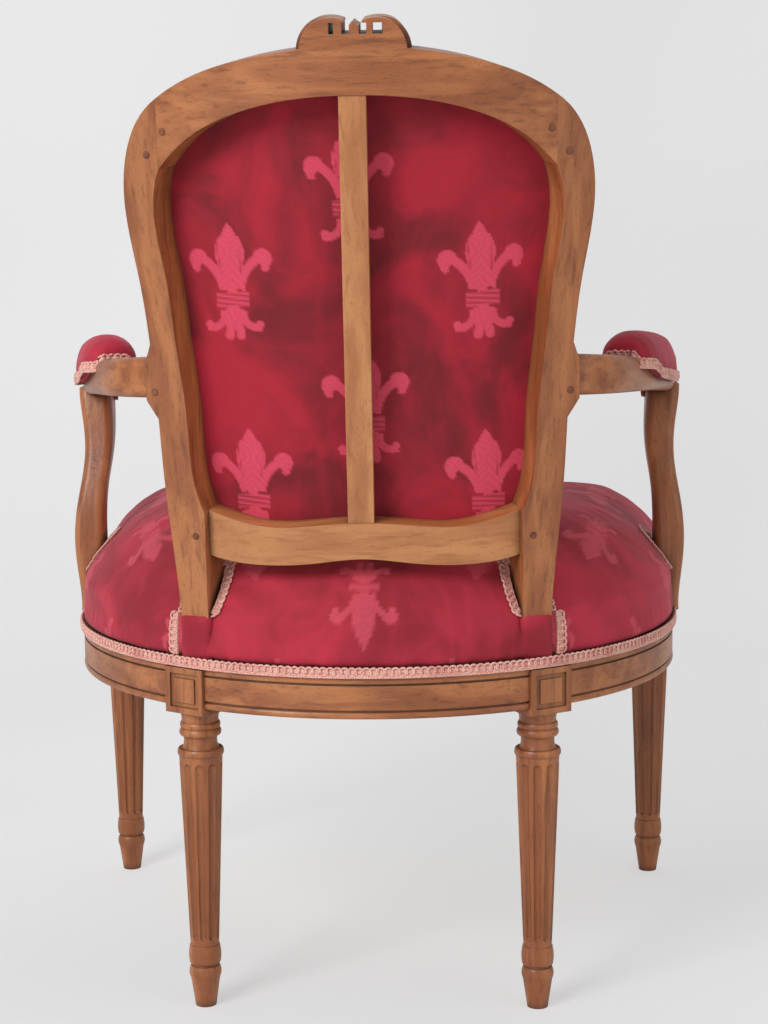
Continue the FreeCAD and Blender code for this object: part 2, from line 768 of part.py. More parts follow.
PEG_PLACES = [(JOINT_X + 10, mm("joint_inner_height") + 12), (JOINT_X - 5, mm("joint_inner_height") + 32),
              (mm("bottom_rail_half_width") + 9, mm("bottom_rail_low_end") + 19),
              (mm("arm_root_out") - 8, mm("arm_root_low") + 8)]


def to_world(shape):
    """Lean a shape of the back's own frame into its place."""
    shape = shape.copy()
    shape.Placement = BACK.multiply(shape.Placement)
    return shape


def flipped(shape):
    """The same form on the other side of the chair."""
    return shape.mirror(Vector(0, 0, 0), Vector(1, 0, 0))


def for_side(shape, sign):
    return shape if sign > 0 else flipped(shape)


FAR = 700
under_seat_top = Part.makeBox(2 * FAR, 2 * FAR, FAR, Vector(-FAR, -FAR, SEAT_TOP - FAR))
peg_holes = [peg(x, w, 0.5) for x, w in PEG_PLACES]
rebate = rebate_cut()
groove = bead_groove(60, 640)


# Arms: a path that leaves the stile outwards and bends forward, with a section that changes along it.
root_angle = asin(mm("arm_root_out") / BACK_RADIUS)
root_r = BACK_RADIUS - mid
root_w = (mm("arm_root_low") + mm("arm_root_high")) / 2
arm_root = BACK.multVec(Vector(root_r * sin(root_angle), root_r * cos(root_angle) - BACK_RADIUS, root_w))
arm_front = Vector(mm("arm_front_spread"), -mm("arm_front_run"), mm("arm_front_height"))


def arm_point(share):
    """Centre of the arm at a share of its run, 0 at the stile and 1 at the front."""
    x = arm_root.x + (arm_front.x - arm_root.x) * sqrt(max(share, 0.0))
    y = arm_root.y + (arm_front.y - arm_root.y) * share
    z = arm_root.z + (arm_front.z - arm_root.z) * share
    return Vector(x, y, z)


def arm_share(run):
    return (arm_root.y + run) / (arm_root.y - arm_front.y)


def arm_heading(share):
    """Level direction of the arm."""
    if share <= 0:
        return Vector(cos(root_angle), -sin(root_angle), 0)
    step = 0.01
    ahead = arm_point(share + step) - arm_point(share - min(step, share))
    return Vector(ahead.x, ahead.y, 0).normalize()


def rounded_wire(centre, across, up, half_a, half_b, rounding):
    """Rounded rectangle from four lines and four quarter arcs."""
    inset = rounding * (1 - 1 / sqrt(2))
    edges = []
    quarters = [(1, 1), (-1, 1), (-1, -1), (1, -1)]

    def at(a, b):
        return centre + across * a + up * b

    for i, (a, b) in enumerate(quarters):
        upright_end = at(a * half_a, b * (half_b - rounding))
        level_end = at(a * (half_a - rounding), b * half_b)
        middle = at(a * (half_a - inset), b * (half_b - inset))
        next_a, next_b = quarters[(i + 1) % 4]
        if i % 2:
            edges.append(Part.Arc(level_end, middle, upright_end).toShape())
            follow = at(next_a * half_a, next_b * (half_b - rounding))
            edges.append(Part.LineSegment(upright_end, follow).toShape())
        else:
            edges.append(Part.Arc(upright_end, middle, level_end).toShape())
            follow = at(next_a * (half_a - rounding), next_b * half_b)
            edges.append(Part.LineSegment(level_end, follow).toShape())
    return Part.Wire(edges)


def arm_shape(grow=0.0):
    """Arm from the stile to its rounded front scroll."""
    width = mm("arm_width")
    tall = mm("arm_thickness")
    root_width = mm("arm_root_width")
    root_tall = mm("arm_root_height")
    # share of the run, width, height
    rows = [(0.0, root_width, root_tall), (0.05, root_width + 1, root_tall - 1), (0.18, width - 2, tall),
            (0.4, width, tall - 2), (0.62, width, tall - 2), (0.84, width, tall), (0.97, width - 1, tall + 2)]
    wires = []
    for share, wide, high in rows:
        across = arm_heading(share).cross(Vector(0, 0, 1)).normalize()
        wires.append(rounded_wire(arm_point(share), across, Vector(0, 0, 1), wide / 2 + grow, high / 2 + grow, 8.0))
    body = Part.makeLoft(wires, True, False)
    heading = arm_heading(1.0)
    across = heading.cross(Vector(0, 0, 1)).normalize()
    wide = mm("arm_width") - 1 + 2 * grow
    middle = arm_point(0.97) + Vector(0, 0, -2.5) + heading * 2
    scroll = Part.makeCylinder(mm("arm_scroll_radius") + grow, wide, middle - across * (wide / 2), across)
    return body.fuse(scroll)


support_foot = Vector(mm("arm_front_spread") + 2, -mm("support_foot_run"), SEAT_TOP)
support_top = arm_point(arm_share(mm("arm_front_run") - 17))


def support_shape(grow=0.0):
    """Arm support: an S-curved post from the side rail up into the arm."""
    rise = support_top.z - 9 - support_foot.z
    wide = mm("support_width")
    deep = mm("support_depth")
    # share of the rise, outward shift, share of the forward sweep, width, depth
    rows = [(0.0, 0.0, 0.0, wide, deep), (0.2, 2.5, -0.06, wide + 1, deep), (0.42, 3.0, -0.12, wide + 1, deep - 4),
            (0.58, -1.0, 0.06, wide - 2, deep - 7), (0.7, -4.5, 0.3, wide - 1, deep - 8),
            (0.84, -4.0, 0.62, wide + 2, deep - 3), (1.0, -1.0, 1.0, wide + 5, deep + 3)]
    wires = []
    for share, out, sweep, w, d in rows:
        run = support_foot.y + (support_top.y - support_foot.y) * sweep
        centre = Vector(support_foot.x + out, run, support_foot.z + rise * share)
        wires.append(rounded_wire(centre, Vector(1, 0, 0), Vector(0, 1, 0), w / 2 + grow, d / 2 + grow, 8.0))
    return Part.makeLoft(wires, True, False)


def support_tenons(extra=0.0):
    """Tenons at both ends of a support: down into the side rail and up into the arm."""
    deep = mm("support_tenon") + extra
    thin = mm("tenon_thickness") + 2 * extra
    wide = mm("support_width") * 0.6 + 2 * extra
    base_x = support_foot.x - mm("rail_thickness") * 0.2
    low = Part.makeBox(thin, wide, deep + 4, Vector(base_x - thin / 2, support_foot.y - wide / 2, SEAT_TOP - deep))
    below = mm("arm_thickness") / 2 + 14
    high = Part.makeBox(thin, wide, deep + 8, Vector(support_top.x - 2 - thin / 2, support_top.y - wide / 2,
                                                     support_top.z - below))
    return low, high


def arm_tenon(extra=0.0):
    start = mm("arm_root_out")
    return curved_block(start - mm("tenon_length") - extra, start + 2, root_w - 11 - extra, root_w + 11 + extra,
                        mid - half_tenon - extra, mid + half_tenon + extra)


# The arm's root is trimmed to the outside of the stile, so it seats on it all over.
root_out = mm("arm_root_out")
inside_stile = to_world(radial_prism([[(root_out, 150), (root_out, 350)], [(root_out, 350), (60, 350)],
                                      [(60, 350), (60, 150)], [(60, 150), (root_out, 150)]]))
arm_solid = arm_shape()
low_tenon, high_tenon = support_tenons()
low_slot, high_slot = support_tenons(grow)
arm_piece = arm_solid.cut(inside_stile).fuse(to_world(arm_tenon())).cut(high_slot)
arm_piece = arm_piece.cut([to_world(hole) for hole in peg_holes])
support_piece = support_shape().cut(arm_solid).fuse([low_tenon, high_tenon])

# Back legs: turned leg, block and stile are one piece of wood.
cover_low = SEAT_TOP - mm("gimp_drop")
cover_rebate = plan.slab(40, cover_low, SEAT_TOP).cut(plan.slab(0, cover_low - 5, SEAT_TOP + 5))
stile_local = stile_shape().fuse(arm_ear())
stile_local = stile_local.cut([rebate, groove, crest_tenon(grow), bottom_tenon(grow), arm_tenon(grow)] + peg_holes)
stile_world = to_world(stile_local).cut(under_seat_top)

for side, sign in SIDES.items():
    node = "back_leg_" + side
    turned = leg_body(node + "_turned_leg", [0])
    placed(turned, leg_axes[node], Rotation(Vector(0, 0, 1), turns[node]))
    gouges = feature(node + "_gouges", Part.makeCompound(flute_gouges()))
    placed(gouges, leg_axes[node], Rotation(Vector(0, 0, 1), turns[node]))
    stile = feature(node + "_stile", for_side(stile_world, sign))
    whole = fused(node + "_blank", [cut(node + "_fluted", turned, gouges), stile])
    slots = compound(node + "_slots", mortises[node] + [feature(node + "_cover_rebate", cover_rebate)])
    labelled(cut(node + "_whole", whole, slots), node)

    node = "front_leg_" + side
    turned = leg_body(node + "_turned_leg", [180, -90 * sign])
    placed(turned, leg_axes[node])
    gouges = feature(node + "_gouges", Part.makeCompound(flute_gouges()))
    placed(gouges, leg_axes[node])
    turned = cut(node + "_fluted", turned, gouges)
    slots = compound(node + "_slots", mortises[node] + [feature(node + "_cover_rebate", cover_rebate)])
    labelled(cut(node + "_whole", turned, slots), node)

doc.recompute()

# Crest rail with the ribbon carving that stands on its middle.
crest_low_corner = (JOINT_X, mm("joint_inner_height"))
crest_high_corner = (JOINT_X, mm("joint_outer_height"))
crest_runs = [smooth_over(crest_over()),
              [(-JOINT_X, crest_high_corner[1]), (-JOINT_X, crest_low_corner[1])],
              smooth_over(crest_under())[::-1],
              [crest_low_corner, crest_high_corner]]
crest = radial_prism(crest_runs).common(back_ring(0, THICK))


def carving_runs(half, low, high):
    """Outline of the carved ribbon: two loops with a notch between them, over a small knot."""
    rise = high - low
    loop = [(half, low), (half * 0.96, low + rise * 0.5), (half * 0.7, low + rise * 0.93),
            (half * 0.42, high), (half * 0.18, low + rise * 0.93)]
    notch = [loop[-1], (half * 0.12, low + rise * 0.8), (0, low + rise * 0.9)]
    return [loop, notch, mirrored_run(notch), mirrored_run(loop), [(-half, low), (half, low)]]


carve_half = mm("carving_half_width")
carve_low = mm("crest_top") - 8
carve_high = mm("crest_top") + mm("carving_rise")
tongue = radial_prism(carving_runs(carve_half * 0.9, carve_low, carve_high))
tongue = tongue.common(back_ring(0, mm("carving_back_thickness") + 1))
ribbon = radial_prism(carving_runs(carve_half, carve_low, carve_high))
ribbon = ribbon.common(back_ring(mm("carving_back_thickness"), THICK + 4))
# place of each slot as a share of the half-width, and its width
slots = [curved_block(carve_half * share - wide / 2, carve_half * share + wide / 2,
                      carve_high - 13, carve_high - 4, -5, THICK + 30)
         for share, wide in ((-0.42, 8), (-0.17, 6), (0.12, 6), (0.36, 4))]
crest = crest.fuse([tongue, ribbon]).cut(slots)
crest = crest.cut([rebate, groove]).fuse([crest_tenon(), flipped(crest_tenon())])
strut_x0 = -mm("strut_width") / 2 + mm("strut_offset")
strut_x1 = strut_x0 + mm("strut_width")


def strut_shape(extra=0.0):
    """Flat lath that leans from the lower rail's face to the crest's face, tenoned into both."""
    low = mm("bottom_rail_dip") - mm("strut_tenon") - extra
    high = mm("crest_opening_top") + mm("strut_tenon") + extra
    rows = []
    for w, v in ((low, -mm("bottom_rail_setback") - 1), (high, -1)):
        thick = mm("strut_thickness")
        corners = [Vector(strut_x0 - extra, v + extra, w), Vector(strut_x1 + extra, v + extra, w),
                   Vector(strut_x1 + extra, v - thick - extra, w), Vector(strut_x0 - extra, v - thick - extra, w)]
        rows.append(Part.makePolygon(corners + corners[:1]))
    return Part.makeLoft(rows, True, True)


both_holes = peg_holes + [flipped(hole) for hole in peg_holes]
crest = crest.cut([strut_shape(grow)] + both_holes)
labelled(feature("crest_rail_shape", to_world(crest)), "crest_rail")

# Lower rail, set back from the rear faces of the stiles.
end_x = mm("bottom_rail_half_width")
low_end = mm("bottom_rail_low_end")
top_half = [(0, mm("bottom_rail_middle_top")), (end_x * 0.3, mm("bottom_rail_dip") + 3),
            (end_x * 0.59, mm("bottom_rail_dip")), (end_x * 0.83, mm("bottom_rail_dip") + 5),
            (end_x, mm("bottom_rail_high_end"))]
low_half = [(0, mm("bottom_rail_belly")), (end_x * 0.33, low_end - 2.5),
            (end_x * 0.6, low_end - mm("bottom_rail_low_sag")), (end_x, low_end)]
rail_runs = [mirrored_run(top_half) + top_half[1:], [top_half[-1], low_half[-1]],
             (mirrored_run(low_half) + low_half[1:])[::-1], [(-end_x, low_end), (-end_x, top_half[-1][1])]]
setback = mm("bottom_rail_setback")
bottom_rail = radial_prism(rail_runs).common(back_ring(setback, setback + mm("bottom_rail_thickness")))
bottom_rail = bottom_rail.fuse([bottom_tenon(), flipped(bottom_tenon())])
bottom_rail = bottom_rail.cut([rebate, strut_shape(grow)] + both_holes)
labelled(feature("bottom_rail_shape", to_world(bottom_rail)), "back_bottom_rail")
labelled(feature("strut_lath", to_world(strut_shape())), "back_strut")

pegs = [peg(x, w) for x, w in PEG_PLACES]
pegs += [flipped(one) for one in pegs]
labelled(feature("pegs_shape", to_world(Part.makeCompound(pegs))), "joint_pegs")

for side, sign in SIDES.items():
    labelled(feature(f"arm_{side}_shape", for_side(arm_piece, sign)), "arm_" + side)
    labelled(feature(f"arm_support_{side}_shape", for_side(support_piece, sign)), "arm_support_" + side)
    rail = [piece for piece in PIECES if piece.Label == "side_seat_rail_" + side][0]
    PIECES.remove(rail)
    rail.Label = f"side_seat_rail_{side}_uncut"
    slot = feature(f"side_seat_rail_{side}_support_slot", for_side(low_slot, sign))
    labelled(cut(f"side_seat_rail_{side}_slotted", rail, slot), "side_seat_rail_" + side)


# Seat: webbing and canvas on the rails, then the stuffed and covered pad.
web = mm("web_thickness")
web_limit = plan.slab(-mm("web_inset"), SEAT_TOP - 1, SEAT_TOP + 10)
posts = []
for sign in SIDES.values():
    posts.append(for_side(to_world(stile_shape(SOFT)), sign))
    posts.append(for_side(support_shape(SOFT), sign))
straps = []
count = int(mm("web_count"))
for i in range(count):
    share = (i + 1) / (count + 1)
    x = (share - 0.5) * 2 * mm("front_leg_spread") * 0.9
    y = -mm("leg_run") * share + 14
    wide = mm("web_width")
    straps.append(Part.makeBox(wide, 2 * FAR, web, Vector(x - wide / 2, -FAR, SEAT_TOP)))
    straps.append(Part.makeBox(2 * FAR, wide, web, Vector(-FAR, y - wide / 2, SEAT_TOP + web)))
webbing = Part.makeCompound([strap.common(web_limit).cut(posts) for strap in straps])
labelled(feature("seat_webbing_shape", webbing), "seat_webbing")
canvas_low = SEAT_TOP + 2 * web
canvas_high = canvas_low + mm("canvas_thickness")
canvas = plan.slab(-mm("canvas_inset"), canvas_low, canvas_high).cut(posts)
labelled(feature("seat_canvas_shape", canvas), "seat_canvas")

crown = mm("seat_crown")
side_high = mm("seat_side_height")
top_rise = crown - side_high
# height above the rails, offset outside the rails
PAD_ROWS = [(SOFT, 0.0), (side_high * 0.12, 0.3), (side_high * 0.6, mm("seat_bulge")),
            (side_high, mm("seat_bulge") - 0.4), (side_high + top_rise * 0.17, -3),
            (side_high + top_rise * 0.36, -10), (side_high + top_rise * 0.58, -23),
            (side_high + top_rise * 0.77, -42), (side_high + top_rise * 0.91, -66),
            (side_high + top_rise * 0.98, -100), (crown, -150)]


def seat_dome(extra=0.0):
    """Stuffed seat: steep bulging sides that turn into a low crown."""
    return Part.makeLoft([plan.wire(off + extra, SEAT_TOP + z + extra / 2) for z, off in PAD_ROWS], True, True)


recess = plan.slab(-mm("canvas_inset") + SOFT, SEAT_TOP - 5, canvas_high + SOFT)
seat_pad = seat_dome().cut([recess] + posts)
labelled(feature("seat_pad_shape", seat_pad), "seat_pad")

gimp = mm("gimp_thickness")
gimp_low = cover_low + 0.5
gimp_high = gimp_low + mm("gimp_width")
lace = plan.slab(SOFT * 2 + gimp, gimp_low, gimp_high)
lace = lace.cut([plan.slab(SOFT * 2, gimp_low - 5, gimp_high + 5)] + posts)
labelled(feature("seat_gimp_shape", lace), "seat_gimp")

# Two upright laces at the rear hide the seams of the cover beside the stiles. More lace runs round
# the foot of each stile and of each arm support, where the cover is cut to pass them.
lace_shell = seat_dome(gimp + SOFT).cut(seat_dome(SOFT))
stile_ring = to_world(stile_shape(SOFT + mm("gimp_width") * 0.6)).cut(to_world(stile_shape(SOFT)))
support_ring = support_shape(mm("gimp_width") * 0.5).cut(support_shape(SOFT))
seam_low = gimp_high + SOFT
for side, sign in SIDES.items():
    seam_angle = degrees(plan.back_leg_angle) + 2.4
    keep = Part.makeBox(9, 60, SEAT_TOP + side_high - seam_low, Vector(-4.5, plan.radius - 40, seam_low))
    keep = placed_shape(keep, plan.centre, -seam_angle)
    labelled(feature(f"seam_{side}_shape", for_side(lace_shell.common(keep), sign)), "seam_gimp_" + side)
    # The stile's lace lies where the seat's cover meets the stile, from its rear face forward.
    over_sides = Part.makeBox(FAR, FAR, FAR, Vector(0, -120, SEAT_TOP + side_high + SOFT))
    ring = lace_shell.common(stile_ring).common(over_sides)
    labelled(feature(f"stile_lace_{side}_shape", for_side(ring, sign)), "stile_foot_gimp_" + side)
    ring = lace_shell.common(support_ring)
    over_sides = Part.makeBox(FAR, FAR, FAR, Vector(0, -FAR / 2, SEAT_TOP + side_high + SOFT))
    ring = ring.common(over_sides)
    labelled(feature(f"support_lace_{side}_shape", for_side(ring, sign)), "support_foot_gimp_" + side)

# Back: rear cover, webbing and canvas in the rebate, then the stuffed pad and its lace in front.
cover = mm("cover_thickness")
margin = mm("rebate_width") - 1
depth = REBATE
rear_cover = radial_prism(upholstery_rebate(margin)).common(back_ring(depth, depth + cover))
labelled(feature("rear_cover_shape", to_world(rear_cover)), "back_cover_rear")
depth += cover
back_limit = radial_prism(upholstery_rebate(margin - 1.5))
back_straps = []
side_x = mm("shoulder_outer")
for share in (-0.5, 0.0, 0.5):
    x = side_x * share * 0.9
    wide = mm("web_width") / 2
    back_straps.append(curved_block(x - wide, x + wide, 60, 560, depth, depth + web))
    w = (mm("bottom_rail_high_end") + mm("joint_inner_height")) / 2 + share * 190
    back_straps.append(curved_block(-side_x, side_x, w - wide, w + wide, depth + web, depth + 2 * web))
webs = Part.makeCompound([strap.common(back_limit) for strap in back_straps])
labelled(feature("back_webbing_shape", to_world(webs)), "back_webbing")
depth += 2 * web + SOFT
canvas_sheet = radial_prism(upholstery_rebate(margin - 0.5))
canvas_sheet = canvas_sheet.common(back_ring(depth, depth + mm("canvas_thickness")))
labelled(feature("back_canvas_shape", to_world(canvas_sheet)), "back_canvas")
depth += mm("canvas_thickness") + SOFT

# Front of the back pad: crowned up and down round the back's own axis, and flattened across.
pad_low = mm("bottom_rail_dip") - 2 * mm("rebate_width")
pad_high = mm("crest_opening_top") + 2 * mm("rebate_width")
crown_r = BACK_RADIUS - THICK - mm("back_pad_crown")
edge_r = BACK_RADIUS - THICK - mm("back_pad_edge")
skin_r = BACK_RADIUS - depth
crown_section = Part.Wire([
    Part.Arc(Vector(edge_r, -BACK_RADIUS, pad_low), Vector(crown_r, -BACK_RADIUS, (pad_low + pad_high) / 2),
             Vector(edge_r, -BACK_RADIUS, pad_high)).toShape(),
    Part.LineSegment(Vector(edge_r, -BACK_RADIUS, pad_high), Vector(skin_r, -BACK_RADIUS, pad_high)).toShape(),
    Part.LineSegment(Vector(skin_r, -BACK_RADIUS, pad_high), Vector(skin_r, -BACK_RADIUS, pad_low)).toShape(),
    Part.LineSegment(Vector(skin_r, -BACK_RADIUS, pad_low), Vector(edge_r, -BACK_RADIUS, pad_low)).toShape(),
])
crowned = Part.Face(crown_section).revolve(Vector(0, -BACK_RADIUS, 0), Vector(0, 0, 1), 180)
side_angle = asin((mm("shoulder_inner") + mm("rebate_width")) / BACK_RADIUS)
side_point = Vector(edge_r * sin(side_angle), edge_r * cos(side_angle) - BACK_RADIUS, pad_low)
front_point = Vector(0, crown_r - BACK_RADIUS, pad_low)
mirror_point = Vector(-side_point.x, side_point.y, pad_low)
across_section = Part.Wire([
    Part.Arc(mirror_point, front_point, side_point).toShape(),
    Part.LineSegment(side_point, Vector(side_point.x, 10, pad_low)).toShape(),
    Part.LineSegment(Vector(side_point.x, 10, pad_low), Vector(-side_point.x, 10, pad_low)).toShape(),
    Part.LineSegment(Vector(-side_point.x, 10, pad_low), mirror_point).toShape(),
])
flattened = Part.Face(across_section).extrude(Vector(0, 0, pad_high - pad_low))
back_pad = crowned.common(flattened).common(radial_prism(upholstery_rebate(margin - SOFT)))
labelled(feature("back_pad_shape", to_world(back_pad)), "back_pad")
lace = radial_prism(upholstery_rebate(margin + gimp + 6.5)).cut(radial_prism(upholstery_rebate(margin + SOFT)))
lace = lace.common(back_ring(THICK + SOFT / 3, THICK + SOFT / 3 + gimp))
labelled(feature("back_gimp_shape", to_world(lace)), "back_gimp")


# Arm pads: stuffed rolls that sit over the arms like saddles, with lace round their lower edge.
def arm_pad_loft(extra=0.0, low_band=False):
    start = arm_share(mm("arm_pad_back_run"))
    end = arm_share(mm("arm_pad_front_run"))
    # share of the pad's length, share of its width, share of its height
    rows = [(0.0, 0.52, 0.45), (0.02, 0.74, 0.68), (0.06, 0.9, 0.85), (0.15, 0.98, 0.97), (0.35, 1.0, 1.0),
            (0.65, 1.0, 1.0), (0.85, 0.98, 0.97), (0.94, 0.9, 0.85), (0.98, 0.74, 0.68), (1.0, 0.52, 0.45)]
    skirt = 8.0
    wires = []
    for part_share, wide, high in rows:
        share = start + (end - start) * part_share
        stretch = extra * (2 * part_share - 1)
        heading = arm_heading(share)
        across = heading.cross(Vector(0, 0, 1)).normalize()
        up = Vector(0, 0, 1)
        base = arm_point(share) + heading * stretch + up * (mm("arm_thickness") / 2 - 1 - skirt - extra)
        half = mm("arm_pad_width") / 2 * wide + extra
        tall = (mm("arm_pad_height") + skirt) * high + 2 * extra
        if low_band:
            tall = mm("gimp_width") * 0.85 + extra
            corners = [base + across * half, base + across * half + up * tall,
                       base - across * half + up * tall, base - across * half]
            wires.append(Part.makePolygon(corners + corners[:1]))
            continue
        shoulder = tall * 0.45
        a = base + across * (half * 0.93)
        b = base + across * (half * 0.86) + up * (shoulder + tall * 0.17)
        top = base + up * tall
        d = base - across * (half * 0.86) + up * (shoulder + tall * 0.17)
        e = base - across * (half * 0.93)
        wires.append(Part.Wire([
            Part.Arc(a, base + across * half + up * (shoulder * 0.62), b).toShape(),
            Part.Arc(b, base + across * (half * 0.5) + up * (tall * 0.9), top).toShape(),
            Part.Arc(top, base - across * (half * 0.5) + up * (tall * 0.9), d).toShape(),
            Part.Arc(d, base - across * half + up * (shoulder * 0.62), e).toShape(),
            Part.LineSegment(e, a).toShape(),
        ]))
    return Part.makeLoft(wires, True, True)


arm_grown = arm_shape(SOFT)
arm_pad = arm_pad_loft().cut(arm_grown)
arm_lace = arm_pad_loft(gimp + SOFT, True).cut(arm_pad_loft(SOFT)).cut(arm_grown)
for side, sign in SIDES.items():
    labelled(feature(f"arm_pad_{side}_shape", for_side(arm_pad, sign)), "arm_pad_" + side)
    labelled(feature(f"arm_lace_{side}_shape", for_side(arm_lace, sign)), "arm_gimp_" + side)

doc.recompute()

# The origin goes under the middle of the whole chair.
whole = FreeCAD.BoundBox()
for piece in PIECES:
    whole.add(piece.Shape.optimalBoundingBox(True, False))
shift = Vector(-whole.Center.x, -whole.Center.y, -whole.ZMin)

for item in doc.Objects:
    if "Invalid" in item.State or "Error" in item.State:
        raise RuntimeError(f"{item.Label} could not be built")

os.makedirs("parts", exist_ok=True)
for piece in PIECES:
    shape = piece.Shape.copy()
    if shape.isNull() or not shape.isValid():
        raise RuntimeError(f"{piece.Label} has no valid shape")
    shape.translate(shift)
    shape.exportStep(f"parts/{piece.Label}.step")
    box = shape.optimalBoundingBox(True, False)
    print(f"{piece.Label}: {len(shape.Solids)} solids, {shape.Volume / 1000:.1f} cm3,",
          f"x {box.XMin:.1f} {box.XMax:.1f} y {box.YMin:.1f} {box.YMax:.1f} z {box.ZMin:.1f} {box.ZMax:.1f}")
print(f"shift {shift.x:.3f} {shift.y:.3f} {shift.z:.3f}")
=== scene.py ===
from math import cos, pi, radians, sin

import bmesh
import bpy
import numpy as np
from mathutils import Matrix, Vector, noise
from mathutils.bvhtree import BVHTree


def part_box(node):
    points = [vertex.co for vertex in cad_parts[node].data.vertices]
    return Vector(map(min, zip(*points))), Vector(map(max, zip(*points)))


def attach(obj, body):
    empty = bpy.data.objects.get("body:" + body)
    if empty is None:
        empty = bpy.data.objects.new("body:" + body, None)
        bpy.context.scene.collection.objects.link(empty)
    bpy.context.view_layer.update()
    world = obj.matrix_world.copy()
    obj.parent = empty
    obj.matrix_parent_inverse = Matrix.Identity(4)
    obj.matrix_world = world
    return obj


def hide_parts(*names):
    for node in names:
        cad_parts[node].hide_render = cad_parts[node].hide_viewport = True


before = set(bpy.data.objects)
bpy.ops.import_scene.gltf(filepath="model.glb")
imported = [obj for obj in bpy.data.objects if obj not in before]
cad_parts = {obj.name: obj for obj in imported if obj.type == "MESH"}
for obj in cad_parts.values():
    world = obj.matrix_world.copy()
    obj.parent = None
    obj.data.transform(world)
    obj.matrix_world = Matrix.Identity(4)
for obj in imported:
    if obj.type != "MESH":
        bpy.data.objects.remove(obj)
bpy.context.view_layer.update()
bpy.ops.object.select_all(action="DESELECT")

# WOODEN FRAME
# Walnut rails, legs, stiles, arms and crest, waxed and worn. The grain runs along each piece and the edges
# are rubbed pale. Corners, flutes and the joints between parts are darkened: old polish, and painted shade.


class Value:
    """A number or colour that runs through a material. Sums on it add maths nodes."""

    def __init__(self, shader, socket):
        self.shader = shader
        self.socket = socket

    def maths(self, operation, *terms):
        return self.shader.node("ShaderNodeMath", {"operation": operation}, dict(enumerate(terms)))

    def __add__(self, other):
        return self.maths("ADD", self, other)

    def __mul__(self, other):
        return self.maths("MULTIPLY", self, other)

    def __sub__(self, other):
        return self.maths("SUBTRACT", self, other)

    def __rsub__(self, other):
        return self.maths("SUBTRACT", other, self)

    __radd__ = __add__
    __rmul__ = __mul__

    def between(self, low, high):
        """0 below the low value, 1 above the high one, and a smooth rise from one to the other."""
        settings = {"interpolation_type": "SMOOTHSTEP"}
        return self.shader.node("ShaderNodeMapRange", settings, {0: self, 1: low, 2: high})


class Shader:
    """A material under construction."""

    def __init__(self, name):
        self.material = bpy.data.materials.new(name)
        self.material.use_nodes = True
        self.tree = self.material.node_tree
        self.tree.nodes.clear()
        self.place = self.node("ShaderNodeTexCoord", out="Object")

    def node(self, kind, settings=None, sockets=None, out=0):
        made = self.tree.nodes.new(kind)
        for key, value in (settings or {}).items():
            setattr(made, key, value)
        for key, value in (sockets or {}).items():
            if isinstance(value, Value):
                self.tree.links.new(value.socket, made.inputs[key])
            else:
                made.inputs[key].default_value = value
        return Value(self, made.outputs[out])

    def mix(self, first, second, share):
        first, second = [(*c, 1) if isinstance(c, tuple) else c for c in (first, second)]
        return self.node("ShaderNodeMix", {"data_type": "RGBA"}, {0: share, 6: first, 7: second}, 2)

    def noise(self, scale, detail=2.0, place=None, distortion=0.0):
        sockets = {"Vector": place or self.place, "Scale": scale, "Detail": detail, "Distortion": distortion}
        return self.node("ShaderNodeTexNoise", None, sockets, "Fac")

    def stretched(self, scale, shift=0.0):
        return self.node("ShaderNodeMapping", None, {0: self.place, 1: (shift, shift, shift), 3: scale})

    def bump(self, height, distance, strength=1.0, normal=None):
        sockets = {"Height": height, "Distance": distance, "Strength": strength}
        if normal:
            sockets["Normal"] = normal
        return self.node("ShaderNodeBump", None, sockets)

    def finish(self, sockets):
        surface = self.node("ShaderNodeBsdfPrincipled", None, sockets)
        output = self.tree.nodes.new("ShaderNodeOutputMaterial")
        self.tree.links.new(surface.socket, output.inputs["Surface"])
        return self.material


EDGE_ROUNDING = 0.0014
# Reach and near-black colour of the darkening in closed-in corners: old polish there, and painted shade.
GRIME_AND_SHADE_REACH = 0.014
GRIME_AND_SHADE = (0.045, 0.018, 0.009)
GRAIN_NARROW = 10.0
GRAIN_LONG = 0.9


